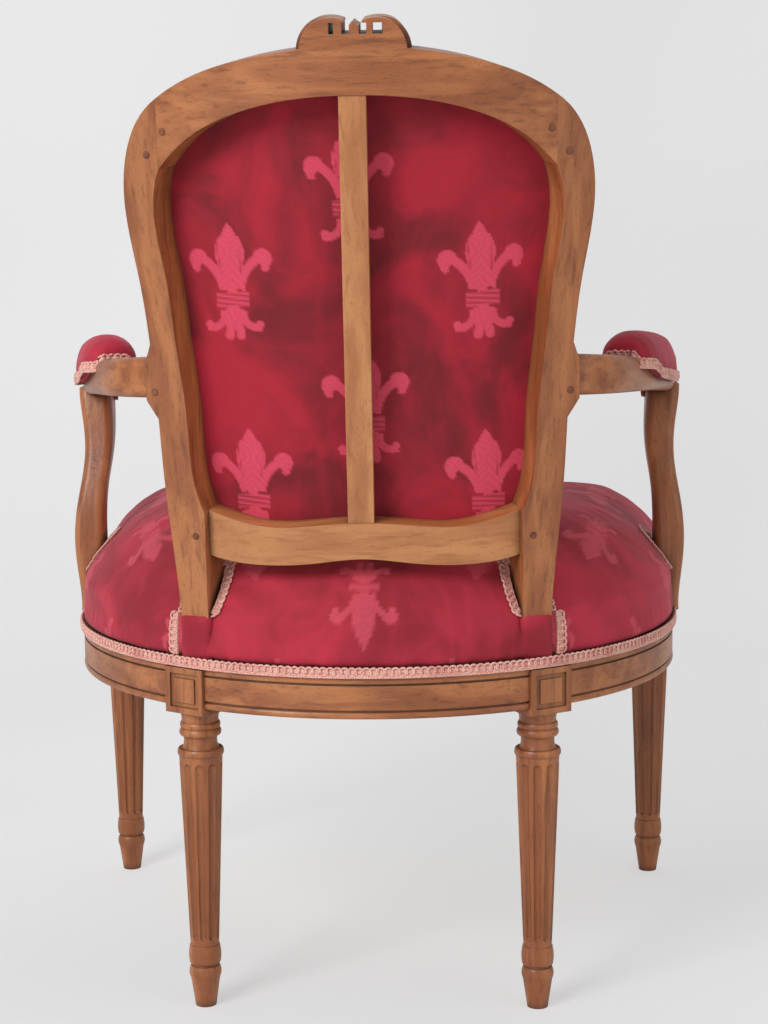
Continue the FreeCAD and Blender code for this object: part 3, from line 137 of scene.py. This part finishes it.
def wood(name, along, light, middle, dark, shift):
    shader = Shader(name)
    scale = [GRAIN_NARROW] * 3
    scale[along] = GRAIN_LONG
    run = shader.stretched(scale, shift)
    figure = shader.noise(5.0, 5.0, run, 0.5)
    streaks = shader.noise(24.0, 5.0, run, 0.25)
    pores = shader.noise(150.0, 2.0, run).between(0.6, 0.7)
    patches = shader.noise(6.0, 4.0, shader.stretched((1, 1, 1), shift), 0.6)
    rounded = shader.node("ShaderNodeBevel", {"samples": 6}, {"Radius": EDGE_ROUNDING})
    plain = shader.node("ShaderNodeNewGeometry", out="Normal")
    dot = {"operation": "DOT_PRODUCT"}
    facing = shader.node("ShaderNodeVectorMath", dot, {0: rounded, 1: plain}, "Value")
    # Ambient occlusion finds the closed-in corners, flutes and meeting parts. The near-black laid there is
    # painted shade as well as old polish.
    open_sky = shader.node("ShaderNodeAmbientOcclusion", {"samples": 6}, {"Distance": GRIME_AND_SHADE_REACH}, "AO")
    corner = 1 - open_sky.between(0.3, 0.85)
    scuffs = shader.noise(70.0, 3.0)
    worn = (1 - facing).between(0.01, 0.2) * (1 - corner) * scuffs.between(0.35, 0.6)
    colour = shader.mix(middle, light, figure.between(0.36, 0.66))
    colour = shader.mix(colour, dark, streaks.between(0.5, 0.72) * 0.45)
    colour = shader.mix(colour, dark, patches.between(0.48, 0.8) * 0.4)
    colour = shader.mix(colour, dark, pores * 0.5)
    colour = shader.mix(colour, light, worn * 0.6)
    # Painted shade and old polish: the occluded corners are drawn near black.
    colour = shader.mix(colour, GRIME_AND_SHADE, corner * 0.8)
    height = streaks * 0.5 - pores * 0.8 + scuffs * 0.3
    normal = shader.bump(height, 0.0004, 0.5, rounded)
    rough = 0.34 + patches * 0.16 + corner * 0.2 + pores * 0.1
    return shader.finish({"Base Color": colour, "Roughness": rough, "Normal": normal,
                          "Coat Weight": 0.18, "Coat Roughness": 0.25})


WALNUT_LIGHT = (0.46, 0.165, 0.052)
WALNUT = (0.29, 0.084, 0.024)
WALNUT_DARK = (0.085, 0.023, 0.008)
UPRIGHT = ("back_leg_left", "back_leg_right", "front_leg_left", "front_leg_right",
           "arm_support_left", "arm_support_right")
ACROSS = ("crest_rail", "back_seat_rail", "front_seat_rail")
DEEP = ("arm_left", "arm_right", "side_seat_rail_left", "side_seat_rail_right")


def finish_nodes(names, material):
    for name in names:
        node = bpy.data.objects[name]
        node.data.materials.clear()
        node.data.materials.append(material)


finish_nodes(UPRIGHT, wood("walnut_upright", 2, WALNUT_LIGHT, WALNUT, WALNUT_DARK, 0.0))
finish_nodes(ACROSS, wood("walnut_across", 0, WALNUT_LIGHT, WALNUT, WALNUT_DARK, 3.1))
finish_nodes(DEEP, wood("walnut_deep", 1, WALNUT_LIGHT, WALNUT, WALNUT_DARK, 5.7))
PALE_LIGHT = (0.56, 0.24, 0.085)
PALE = (0.40, 0.145, 0.045)
finish_nodes(["back_strut"], wood("pale_strut", 2, PALE_LIGHT, PALE, WALNUT, 8.3))
finish_nodes(["back_bottom_rail"], wood("pale_rail", 0, PALE_LIGHT, PALE, WALNUT, 9.9))
finish_nodes(["joint_pegs"], wood("peg_wood", 1, WALNUT, WALNUT_DARK, WALNUT_DARK, 1.2))


# WEBBING AND CANVAS
# Jute straps woven over and under, and the plain linen laid on them. Both are seen only from below
# and through the gaps of the frame.
def woven(name, first, second, threads):
    shader = Shader(name)
    bands = []
    for axis in ("X", "Y"):
        settings = {"wave_type": "BANDS", "bands_direction": axis}
        sockets = {"Vector": shader.place, "Scale": threads, "Distortion": 0.4, "Detail": 1.0}
        bands.append(shader.node("ShaderNodeTexWave", settings, sockets, "Fac"))
    weave = bands[0] * bands[1]
    colour = shader.mix(first, second, weave + shader.noise(30.0, 3.0) * 0.3)
    return shader.finish({"Base Color": colour, "Roughness": 0.95, "Normal": shader.bump(weave, 0.0006)})


finish_nodes(["seat_webbing", "back_webbing"], woven("jute", (0.26, 0.16, 0.07), (0.52, 0.37, 0.2), 180.0))
finish_nodes(["seat_canvas", "back_canvas"], woven("linen", (0.42, 0.36, 0.26), (0.66, 0.6, 0.48), 420.0))


# VELVET
# Crimson cut velvet, brushed in patches, with raised lilies in a half-drop pattern. The lily is worked
# out in millimetres round the middle of its band, and each cover keeps it as an attribute.
def lily(x, y):
    """How strongly the lily shows at each point, from 0 on the ground to 1 on its petals."""
    side = np.abs(x)
    leaf = np.interp(y, (6, 12, 30, 42, 50, 58, 59, 66, 71), (4, 6.5, 12, 15, 13.5, 10, 7.5, 4, 0)) - side
    leaf = np.where((y < 6) | (y > 71), -9, leaf)
    across, over = 46 - side, y - 5
    turn = np.degrees(np.arctan2(over, across))
    petal = np.where((turn > 6) & (turn < 60), 4.5 - np.abs(np.hypot(across, over) - 38), -9)
    curl = np.maximum(9.5 - np.hypot(side - 31, y - 37.5), 5 - np.hypot(side - 33, y - 30.5))
    curl = np.minimum(curl, np.hypot(side - 26.5, y - 29.5) - 3.2)
    band = np.minimum(16 - side, 7.5 - np.abs(y))
    down = np.clip((-9 - y) / 24, 0, 1)
    stalk = 4.6 - np.hypot(side - (2 + 3.5 * down), y - (-9 - 24 * down))
    turn = np.degrees(np.arctan2(y + 13.5, side - 21.5)) % 360
    tail = np.where((turn > 160) & (turn < 292), 3.8 - np.abs(np.hypot(side - 21.5, y + 13.5) - 12.3), -9)
    tail = np.maximum(tail, 4 - np.hypot(side - 24.5, y + 23))
    petals = np.maximum.reduce([leaf, petal, curl, stalk, tail])
    gap = np.clip(np.minimum(np.abs(side - 8.5 - 0.08 * (y - 12)), 9) / 0.9, 0, 1)
    gap = np.where((y > 12) & (y < 56) & (petals == leaf), gap, 1)
    inside = np.clip(petals / 0.9 + 0.3, 0, 1)
    rings = 0.84 + 0.16 * np.clip(np.cos(petals * 2 * pi / 2.2) + 0.5, 0, 1)
    stripes = np.clip(band / 0.9 + 0.3, 0, 1) * (0.6 + 0.4 * np.cos(y * 2 * pi / 2.6))
    return np.maximum(inside * rings * (0.35 + 0.65 * gap), stripes)


LILY_SCALE = 1050


def lilies(u, v, places, lean):
    """The lilies of one cover, each at its place, all leaning by the same angle."""
    shown = np.zeros_like(u)
    for across, over in places:
        x = (u - across) * cos(lean) + (v - over) * sin(lean)
        y = -(u - across) * sin(lean) + (v - over) * cos(lean)
        near = (np.abs(x) < 0.045) & (y > -0.045) & (y < 0.075)
        shown[near] = np.maximum(shown[near], lily(x[near] * LILY_SCALE, y[near] * LILY_SCALE))
    return shown


def keep_attribute(piece, name, values):
    attribute = piece.data.attributes.new(name, "FLOAT", "POINT")
    attribute.data.foreach_set("value", np.asarray(values, dtype=np.float32))


def velvet(name, deep, pile, raised, strength, sheen):
    shader = Shader(name)
    brushed = shader.noise(11.0, 4.0, None, 1.2)
    strokes = shader.noise(5.0, 3.0, shader.stretched((3.0, 3.0, 1.0)), 2.0)
    tufts = shader.noise(1500.0, 1.0)
    drawn = shader.node("ShaderNodeAttribute", {"attribute_name": "lily"}, None, "Fac")
    colour = shader.mix(deep, pile, brushed.between(0.32, 0.7))
    colour = shader.mix(colour, pile, strokes.between(0.45, 0.75) * 0.5)
    colour = shader.mix(colour, raised, drawn * strength)
    colour = shader.mix(colour, deep, tufts.between(0.5, 0.8) * 0.25)
    normal = shader.bump(tufts * 0.4 + drawn * 1.2 + brushed * 2.0, 0.0006, 0.7)
    return shader.finish({"Base Color": colour, "Roughness": 0.82, "Normal": normal,
                          "Sheen Weight": sheen, "Sheen Roughness": 0.4, "Sheen Tint": (1.0, 0.42, 0.48, 1)})


CRIMSON_DEEP = (0.165, 0.003, 0.009)
CRIMSON = (0.40, 0.007, 0.026)
CRIMSON_RAISED = (0.70, 0.06, 0.115)
back_velvet = velvet("velvet_back", CRIMSON_DEEP, CRIMSON, CRIMSON_RAISED, 0.9, 0.1)
# Painted light: the velvet on the seat, the arms and round the stile feet is the back's crimson with lighter
# colours, for the light that falls on these upward faces.
lit_seat_velvet = velvet("velvet_seat_lit", (0.27, 0.007, 0.018), (0.50, 0.02, 0.05), (0.72, 0.09, 0.14), 0.55, 0.3)


def new_piece(name, points, faces, material, body="root"):
    mesh = bpy.data.meshes.new(name)
    mesh.from_pydata([tuple(p) for p in points], [], [tuple(f) for f in faces])
    mesh.update()
    piece = bpy.data.objects.new(name, mesh)
    bpy.context.collection.objects.link(piece)
    return dressed(piece, material, body)


def dressed(piece, material, body="root"):
    piece.data.materials.clear()
    piece.data.materials.append(material)
    for face in piece.data.polygons:
        face.use_smooth = True
    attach(piece, body)
    return piece


def surface_of(name):
    """What a ray meets on a frame node."""
    mesh = bpy.data.objects[name].data
    return BVHTree.FromPolygons([v.co for v in mesh.vertices], [tuple(p.vertices) for p in mesh.polygons])


# REAR COVER
# One sheet of velvet stretched over the back's opening from behind and tacked in its rebate. It bends
# round the same upright axis as the leaning back.
BACK_FOOT = Vector((0, 0.205623, 0.332))
BACK_LEAN = radians(9.65)
BACK_RADIUS = 0.465
COVER_DEPTH = 0.0306
COVER_STEP = 0.0016


def on_back(turn, height, depth):
    """A point of the curved back: turn round its axis, height up the slope, depth from the rear face."""
    reach = BACK_RADIUS - depth
    x, y = reach * sin(turn), reach * cos(turn) - BACK_RADIUS
    return BACK_FOOT + Vector((x, y * cos(BACK_LEAN) + height * sin(BACK_LEAN),
                               height * cos(BACK_LEAN) - y * sin(BACK_LEAN)))


cover_radius = BACK_RADIUS - COVER_DEPTH
cover_solid = surface_of("back_cover_rear")
columns = int(0.176 / COVER_STEP)
rows = range(int(0.118 / COVER_STEP), int(0.535 / COVER_STEP))
cells = {}
points, across, over = [], [], []
for i in range(-columns, columns + 1):
    turn = i * COVER_STEP / cover_radius
    for j in rows:
        height = j * COVER_STEP
        start = on_back(turn, height, -0.02)
        inward = (on_back(turn, height, 0.1) - start).normalized()
        if cover_solid.ray_cast(start, inward, 0.06)[0] is None:
            continue
        ripple = noise.noise(Vector((i * 0.045, j * 0.02, 3.0))) * 0.0005
        cells[i, j] = len(points)
        points.append(on_back(turn, height, COVER_DEPTH - 0.0003 - ripple))
        across.append(i * COVER_STEP)
        over.append(height)
faces = []
for i, j in cells:
    corners = ((i, j), (i, j + 1), (i + 1, j + 1), (i + 1, j))
    if all(corner in cells for corner in corners):
        faces.append([cells[corner] for corner in corners])
across, over = np.array(across), np.array(over)
cover = new_piece("back_cover_velvet", points, faces, back_velvet)
COVER_LILIES = ((0.112, 0.324), (-0.107, 0.324), (0.006, 0.406), (-0.005, 0.216), (0.099, 0.142),
                (-0.112, 0.14))
COVER_LEAN = radians(-2.5)
keep_attribute(cover, "lily", lilies(across, over, COVER_LILIES, COVER_LEAN))
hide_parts("back_cover_rear")


# STUFFED PADS
# Seat, back and arms are hair and wadding under velvet that is drawn tight and tacked to the wood. Each
# pad starts from its frame node, is swollen as cloth under pressure, and is held where it is tacked.
def stuffed(node, name, voxel, cap, held, settle=None):
    piece = bpy.data.objects.new(name, bpy.data.objects[node].data.copy())
    bpy.context.collection.objects.link(piece)
    merged = bmesh.new()
    merged.from_mesh(piece.data)
    bmesh.ops.remove_doubles(merged, verts=merged.verts, dist=0.00002)
    merged.to_mesh(piece.data)
    merged.free()
    bpy.ops.object.select_all(action="DESELECT")
    bpy.context.view_layer.objects.active = piece
    piece.select_set(True)
    remesh = piece.modifiers.new("remesh", "REMESH")
    remesh.mode = "VOXEL"
    remesh.voxel_size = voxel
    bpy.ops.object.modifier_apply(modifier="remesh")
    smooth = piece.modifiers.new("smooth", "SMOOTH")
    smooth.iterations = 4
    bpy.ops.object.modifier_apply(modifier="smooth")
    if settle:
        for vertex in piece.data.vertices:
            vertex.co = settle(vertex.co.copy())
    before = [v.co.copy() for v in piece.data.vertices]
    group = piece.vertex_groups.new(name="tacked")
    group.add([v.index for v in piece.data.vertices if held(v.co)], 1.0, "REPLACE")
    cloth = piece.modifiers.new("cloth", "CLOTH")
    cloth.settings.quality = 5
    cloth.settings.use_pressure = True
    cloth.settings.uniform_pressure_force = 4.0
    cloth.settings.effector_weights.gravity = 0.0
    cloth.settings.vertex_group_mass = "tacked"
    cloth.point_cache.frame_end = 20
    for step in range(1, 21):
        bpy.context.scene.frame_set(step)
    bpy.ops.object.modifier_apply(modifier="cloth")
    bpy.context.scene.frame_set(1)
    for vertex, start in zip(piece.data.vertices, before):
        move = vertex.co - start
        if move.length > cap:
            vertex.co = start + move.normalized() * cap
    piece.vertex_groups.clear()
    subdivision = piece.modifiers.new("subdivision", "SUBSURF")
    subdivision.levels = subdivision.render_levels = 1
    bpy.ops.object.modifier_apply(modifier="subdivision")
    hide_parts(node)
    return piece


RAIL_TOP = 0.332
SEAT_SIDE = 0.045
seat_low, seat_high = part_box("seat_pad")
seat_rise = seat_high[2] - RAIL_TOP - SEAT_SIDE


def lower_shoulder(point):
    """The seat rises slowly from its edges to the crown."""
    above = point.z - RAIL_TOP - SEAT_SIDE
    if above > 0:
        point.z = RAIL_TOP + SEAT_SIDE + seat_rise * min(above / seat_rise, 1.0) ** 1.45
    return point


seat = stuffed("seat_pad", "seat_velvet_pad", 0.006, 0.004, lambda p: p.z < RAIL_TOP + 0.008, lower_shoulder)
spots = np.array([v.co for v in seat.data.vertices])
# The flat cloth: each spot moves out from the middle by how far the cover has fallen there.
fallen = 1 + 0.85 * (seat_high[2] - spots[:, 2]) / np.maximum(np.hypot(spots[:, 0], spots[:, 1]), 0.05)
LILY_COLUMNS = 0.115
LILY_REPEAT = 0.19
SEAT_LILIES = [(column * LILY_COLUMNS, (row + column % 2 / 2) * LILY_REPEAT + 0.05)
               for column in range(-3, 4) for row in range(-2, 3)]
keep_attribute(seat, "lily", lilies(spots[:, 0] * fallen, spots[:, 1] * fallen, SEAT_LILIES, 0.0))
dressed(seat, lit_seat_velvet)

# Where the seat's cover meets the stiles it is cut and folded up round their feet.
CUFF_TOP = 0.376
CUFF_THICKNESS = 0.0022
for side in ("left", "right"):
    bpy.ops.object.select_all(action="DESELECT")
    cuff = bpy.data.objects.new("stile_cuff_" + side, bpy.data.objects["back_leg_" + side].data.copy())
    bpy.context.collection.objects.link(cuff)
    bpy.context.view_layer.objects.active = cuff
    cuff.select_set(True)
    for height, clears_upper in ((RAIL_TOP + 0.003, False), (CUFF_TOP - 0.002, True)):
        bpy.ops.object.mode_set(mode="EDIT")
        bpy.ops.mesh.select_all(action="SELECT")
        bpy.ops.mesh.remove_doubles(threshold=0.00002)
        bpy.ops.mesh.select_all(action="SELECT")
        bpy.ops.mesh.bisect(plane_co=(0, 0, height), plane_no=(0, 0, 1), use_fill=True,
                            clear_inner=not clears_upper, clear_outer=clears_upper)
        bpy.ops.object.mode_set(mode="OBJECT")
    remesh = cuff.modifiers.new("remesh", "REMESH")
    remesh.voxel_size = 0.0025
    bpy.ops.object.modifier_apply(modifier="remesh")
    swell = cuff.modifiers.new("swell", "DISPLACE")
    swell.strength = CUFF_THICKNESS
    swell.mid_level = 0
    bpy.ops.object.modifier_apply(modifier="swell")
    smooth = cuff.modifiers.new("smooth", "SMOOTH")
    smooth.iterations = 2
    bpy.ops.object.modifier_apply(modifier="smooth")
    dressed(cuff, lit_seat_velvet)

back = stuffed("back_pad", "back_velvet_pad", 0.005, 0.003, lambda p: False)
spots = np.array([v.co for v in back.data.vertices])
slope = (spots[:, 2] - BACK_FOOT.z) / cos(BACK_LEAN)
keep_attribute(back, "lily", lilies(spots[:, 0], slope, COVER_LILIES, 0.0))
dressed(back, back_velvet)

PAD_DROP = 0.013
PAD_NARROWING = 0.88
PAD_HALF = 0.028
pad_low, pad_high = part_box("arm_pad_left")


def drawn_down(point):
    """The arm covers are drawn down beside the arm, more towards the front, and in across it."""
    sign = 1 if point.x > 0 else -1
    forward = min(max((pad_high[1] - 0.012 - point.y) / 0.05, 0), 1)
    under = min(max((pad_high[2] - 0.016 - point.z) / 0.02, 0), 1)
    point.z -= PAD_DROP * forward * forward * (3 - 2 * forward) * under
    share = (pad_high[1] - point.y) / (pad_high[1] - pad_low[1])
    middle = pad_low[0] + PAD_HALF + (pad_high[0] - pad_low[0] - 2 * PAD_HALF) * share
    point.x = sign * (middle + (abs(point.x) - middle) * PAD_NARROWING - 0.001)
    return point


for side in ("left", "right"):
    pad = stuffed("arm_pad_" + side, "arm_velvet_pad_" + side, 0.004, 0.002, lambda p: False, drawn_down)
    dressed(pad, lit_seat_velvet)


# GIMP
# Woven trimming glued over the cut edges of the velvet: a pale cord that loops over two straight
# cords, on a flat tape of the same thread. One loop is worked out and repeated along each run.
GIMP_PITCH = 0.0064
CORD = 0.0011
CORD_SIDES = 5
LOOP_MIDDLE = 0.0014
LOOP_HEIGHT = 0.003
LOOP_SWING = 0.0022
STRAIGHT_CORDS = (-0.0042, -0.0026)
TAPE_LOW, TAPE_HIGH = -0.0052, 0.0026
TAPE_BACK, TAPE_FACE = -0.0012, 0.0006


def tube(centres, outward, radius):
    """A round cord along a run of points, as rings of points and the faces between them."""
    along = np.gradient(centres, axis=0)
    along /= np.linalg.norm(along, axis=1)[:, None]
    beside = np.cross(along, outward)
    beside /= np.linalg.norm(beside, axis=1)[:, None] + 1e-9
    above = np.cross(beside, along)
    rings = []
    for k in range(CORD_SIDES):
        angle = 2 * pi * k / CORD_SIDES
        rings.append(centres + radius * (cos(angle) * above + sin(angle) * beside))
    points = np.stack(rings, axis=1).reshape(-1, 3)
    faces = []
    last = (len(centres) - 1) * CORD_SIDES
    for start in range(0, last, CORD_SIDES):
        for k in range(CORD_SIDES):
            here, after = start + k, start + (k + 1) % CORD_SIDES
            faces.append((here, here + CORD_SIDES, after + CORD_SIDES, after))
    faces.append(tuple(range(CORD_SIDES)))
    faces.append(tuple(range(last, last + CORD_SIDES))[::-1])
    return points, faces


def tape(outward, upward, run):
    """The flat tape that carries the cords."""
    edges = ((TAPE_LOW, TAPE_BACK), (TAPE_LOW, TAPE_FACE), (TAPE_HIGH, TAPE_FACE), (TAPE_HIGH, TAPE_BACK))
    points = np.stack([run + upward * high + outward * proud for high, proud in edges], axis=1).reshape(-1, 3)
    faces = []
    for start in range(0, len(points) - 4, 4):
        for k in range(4):
            here, after = start + k, start + (k + 1) % 4
            faces.append((here, after, after + 4, here + 4))
    return points, faces + [(3, 2, 1, 0), tuple(range(len(points) - 4, len(points)))]


def braided(name, run, outward, toward, node, closed):
    """Gimp along a run of points. outward leaves the cloth, and toward is where its loops point."""
    run, outward, toward = [np.array(a, dtype=float) for a in (run, outward, toward)]
    if closed:
        run, outward, toward = [np.vstack([a, a[:1]]) for a in (run, outward, toward)]
    lengths = np.concatenate([[0], np.cumsum(np.linalg.norm(np.diff(run, axis=0), axis=1))])
    count = max(2, round(lengths[-1] / GIMP_PITCH))
    pitch = lengths[-1] / count

    def read(values, s):
        return np.stack([np.interp(s, lengths, values[:, k]) for k in range(3)], axis=1)

    def ways(s):
        out = read(outward, s)
        out /= np.linalg.norm(out, axis=1)[:, None]
        up = read(toward, s)
        up -= out * np.sum(up * out, axis=1)[:, None]
        return out, up / np.linalg.norm(up, axis=1)[:, None]

    def cord(s, high, proud, radius):
        out, up = ways(s)
        centres = read(run, s) + up * high[:, None] + out * proud[:, None]
        return tube(centres, out, radius)

    t = np.linspace(0, 2 * pi * count, 12 * count + 1)
    s = np.clip(pitch * t / (2 * pi) - LOOP_SWING * np.sin(t), 0, lengths[-1])
    parts = [cord(s, LOOP_MIDDLE - LOOP_HEIGHT * np.cos(t), 0.001 + 0.0004 * np.cos(t / 2) ** 2, CORD)]
    s = np.linspace(0, lengths[-1], 4 * count + 1)
    still = np.ones_like(s)
    for high in STRAIGHT_CORDS:
        parts.append(cord(s, still * high, still * 0.0009, CORD * 0.95))
    parts.append(tape(*ways(s), read(run, s)))
    points, faces = [], []
    for more_points, more_faces in parts:
        base = sum(len(p) for p in points)
        points.append(more_points)
        faces += [tuple(i + base for i in face) for face in more_faces]
    piece = new_piece(name, np.vstack(points), faces, gimp_cord)
    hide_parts(node)
    return piece


shader = Shader("gimp_cord")
twist = shader.noise(900.0, 2.0)
soiled = shader.noise(30.0, 3.0)
colour = shader.mix((0.62, 0.17, 0.16), (0.86, 0.55, 0.44), twist.between(0.35, 0.6))
colour = shader.mix(colour, (0.5, 0.12, 0.11), soiled.between(0.5, 0.75) * 0.5)
gimp_cord = shader.finish({"Base Color": colour, "Roughness": 0.8, "Normal": shader.bump(twist, 0.0005),
                           "Sheen Weight": 0.2})


RAYS_UP = 24


def ring_seen_from_side(name, centre, low, high, count, reach):
    """Middle line of an upright band that closes round a centre."""
    solid = surface_of(name)
    run, outward = [], []
    for k in range(count):
        angle = 2 * pi * k / count
        ray = Vector((cos(angle), sin(angle), 0))
        met = []
        for step in range(RAYS_UP + 1):
            z = low + (high - low) * step / RAYS_UP
            start = Vector((centre[0], centre[1], z)) + ray * reach
            point, normal, _, _ = solid.ray_cast(start, -ray, reach)
            if point:
                met.append((point, normal))
        if met:
            point = sum((m[0] for m in met), Vector()) / len(met)
            normal = Vector((met[0][1].x, met[0][1].y, 0))
            run.append(point - normal.normalized() * 0.001)
            outward.append(normal.normalized())
    return run, outward


def band_seen_along(name, centre, axis, first, count, reach, closed):
    """Middle line of a band that lies round a centre, seen down an axis."""
    solid = surface_of(name)
    second = axis.cross(first)
    found = []
    for k in range(count):
        angle = 2 * pi * k / count
        ray = first * cos(angle) + second * sin(angle)
        met = []
        for step in range(1, 90):
            start = centre + ray * reach * step / 90 + axis * 0.4
            point, normal, _, _ = solid.ray_cast(start, -axis, 0.9)
            if point:
                met.append((point, normal, ray))
        if met:
            found.append((k, met[len(met) // 2]))
    if not closed and found:
        gaps = [((found[(i + 1) % len(found)][0] - found[i][0]) % count, i) for i in range(len(found))]
        cut_after = max(gaps)[1] + 1
        found = found[cut_after:] + found[:cut_after]
    run = [met[0] for _, met in found]
    return run, [met[1] for _, met in found], [met[2] for _, met in found]


def laid_on(piece, run):
    """The same run, moved onto a finished cover, and the ways out of it."""
    mesh = piece.data
    skin = BVHTree.FromPolygons([v.co for v in mesh.vertices], [tuple(p.vertices) for p in mesh.polygons])
    met = [skin.find_nearest(Vector(point)) for point in run]
    last = len(met) - 1
    calm = []
    for i in range(len(met)):
        near = [met[min(max(i + k, 0), last)][1] for k in (-2, -1, 0, 1, 2)]
        calm.append(sum(near, Vector()).normalized())
    return [m[0] + n * 0.0008 for m, n in zip(met, calm)], calm


ACROSS_CHAIR = Vector((1, 0, 0))
run, outward = ring_seen_from_side("seat_gimp", (0, -0.02), 0.326, 0.335, 360, 0.5)
braided("seat_gimp_braid", run, outward, [(0, 0, 1)] * len(run), "seat_gimp", True)
for side, sign in (("left", 1), ("right", -1)):
    node = "arm_gimp_" + side
    low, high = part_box(node)
    middle = [(a + b) / 2 for a, b in zip(low, high)]
    run, outward = ring_seen_from_side(node, middle, low[2], high[2], 96, 0.2)
    run = [drawn_down(point) for point in run]
    braided(node + "_braid", run, outward, [(0, 0, 1)] * len(run), node, True)

    node = "seam_gimp_" + side
    low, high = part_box(node)
    solid = surface_of(node)
    x = (low[0] + high[0]) / 2
    y = (low[1] + high[1]) / 2
    ray = Vector((x, y + 0.227, 0)).normalized()
    run = []
    for step in range(21):
        z = low[2] + 0.0005 + (high[2] - low[2] - 0.001) * step / 20
        point, normal, _, _ = solid.ray_cast(Vector((x, y, z)) + ray * 0.05, -ray, 0.1)
        if point:
            run.append(point - normal * 0.001)
    run, outward = laid_on(seat, run)
    braided(node + "_braid", run, outward, [(sign, 0, 0)] * len(run), node, False)

    for node in ("stile_foot_gimp_" + side, "support_foot_gimp_" + side):
        low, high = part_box(node)
        middle = Vector(((low[0] + high[0]) / 2, (low[1] + high[1]) / 2, 0.4))
        run, _, toward = band_seen_along(node, middle, Vector((0, 0, 1)), ACROSS_CHAIR, 72, 0.06, False)
        run, outward = laid_on(seat, run)
        braided(node + "_braid", run, outward, toward, node, False)

front_way = Vector((0, -cos(BACK_LEAN), sin(BACK_LEAN)))
low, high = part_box("back_gimp")
middle = Vector([(a + b) / 2 for a, b in zip(low, high)])
run, outward, toward = band_seen_along("back_gimp", middle, front_way, ACROSS_CHAIR, 240, 0.28, True)
braided("back_gimp_braid", run, outward, [-t for t in toward], "back_gimp", True)

# STUDIO
# White paper swept up behind the chair, one large lamp from the back left and a weaker one opposite.
EYE = Vector((-0.09516, 2.0581, 0.7237))
LENS = 74.53
down, yaw, roll = radians(7.76), radians(-2.38), radians(0.55)
yawed = Matrix(((cos(yaw), 0, -sin(yaw)), (0, 1, 0), (sin(yaw), 0, cos(yaw))))
tipped = Matrix(((1, 0, 0), (0, cos(down), sin(down)), (0, -sin(down), cos(down))))
rolled = Matrix(((cos(roll), -sin(roll), 0), (sin(roll), cos(roll), 0), (0, 0, 1)))
right, up, ahead = [Vector((-row[0], -row[2], row[1])) for row in rolled @ tipped @ yawed]
bpy.ops.object.camera_add(location=EYE)
camera = bpy.context.object
camera.matrix_world = Matrix.Translation(EYE) @ Matrix((right, up, -ahead)).transposed().to_4x4()
camera.data.sensor_fit = "VERTICAL"
camera.data.sensor_height = 36
camera.data.lens = LENS
camera.data.clip_end = 50
bpy.context.scene.camera = camera
bpy.context.scene.view_settings.view_transform = "Standard"

PAPER_HALF = 7.0
PAPER_BEND = 0.9
PAPER_WALL = -1.7
profile = [(6.0, 0.0), (PAPER_WALL + PAPER_BEND, 0.0)]
for step in range(1, 13):
    angle = pi / 2 * step / 12
    profile.append((PAPER_WALL + PAPER_BEND * (1 - sin(angle)), PAPER_BEND * (1 - cos(angle))))
profile.append((PAPER_WALL, 5.0))
points = [(x, y, z) for y, z in profile for x in (-PAPER_HALF, PAPER_HALF)]
faces = [(2 * i, 2 * i + 1, 2 * i + 3, 2 * i + 2) for i in range(len(profile) - 1)]
mesh = bpy.data.meshes.new("paper")
mesh.from_pydata(points, [], faces)
paper = bpy.data.objects.new("paper", mesh)
bpy.context.collection.objects.link(paper)
for face in mesh.polygons:
    face.use_smooth = True
shader = Shader("white_paper")
cloudy = shader.noise(0.8, 2.0)
white = shader.mix((0.78, 0.78, 0.785), (0.86, 0.86, 0.86), cloudy.between(0.3, 0.7))
lit = shader.node("ShaderNodeBsdfDiffuse", None, {"Color": white})
glow = shader.node("ShaderNodeEmission", None, {"Color": white})
seen = shader.node("ShaderNodeLightPath", out="Is Camera Ray") * 0.6
surface = shader.node("ShaderNodeMixShader", None, {0: seen, 1: lit, 2: glow})
output = shader.tree.nodes.new("ShaderNodeOutputMaterial")
shader.tree.links.new(surface.socket, output.inputs["Surface"])
mesh.materials.append(shader.material)


def lamp(name, place, target, watts, size):
    bpy.ops.object.light_add(type="AREA", location=place)
    light = bpy.context.object
    light.name = name
    light.data.energy = watts
    light.data.size = size
    light.rotation_euler = (Vector(target) - Vector(place)).to_track_quat("-Z", "Y").to_euler()


lamp("key", (1.6, 2.3, 2.1), (0, 0, 0.5), 62, 1.2)
lamp("fill", (-2.0, 1.6, 1.3), (0, 0, 0.5), 8, 1.6)
world = bpy.data.worlds.new("studio")
world.use_nodes = True
bpy.context.scene.world = world
tree = world.node_tree
plain = tree.nodes["Background"]
plain.inputs[0].default_value = (1, 1, 1, 1)
plain.inputs[1].default_value = 0.5
seen = tree.nodes.new("ShaderNodeBackground")
seen.inputs[0].default_value = (0.82, 0.82, 0.825, 1)
path = tree.nodes.new("ShaderNodeLightPath")
both = tree.nodes.new("ShaderNodeMixShader")
tree.links.new(path.outputs["Is Camera Ray"], both.inputs[0])
tree.links.new(plain.outputs[0], both.inputs[1])
tree.links.new(seen.outputs[0], both.inputs[2])
tree.links.new(both.outputs[0], tree.nodes["World Output"].inputs[0])
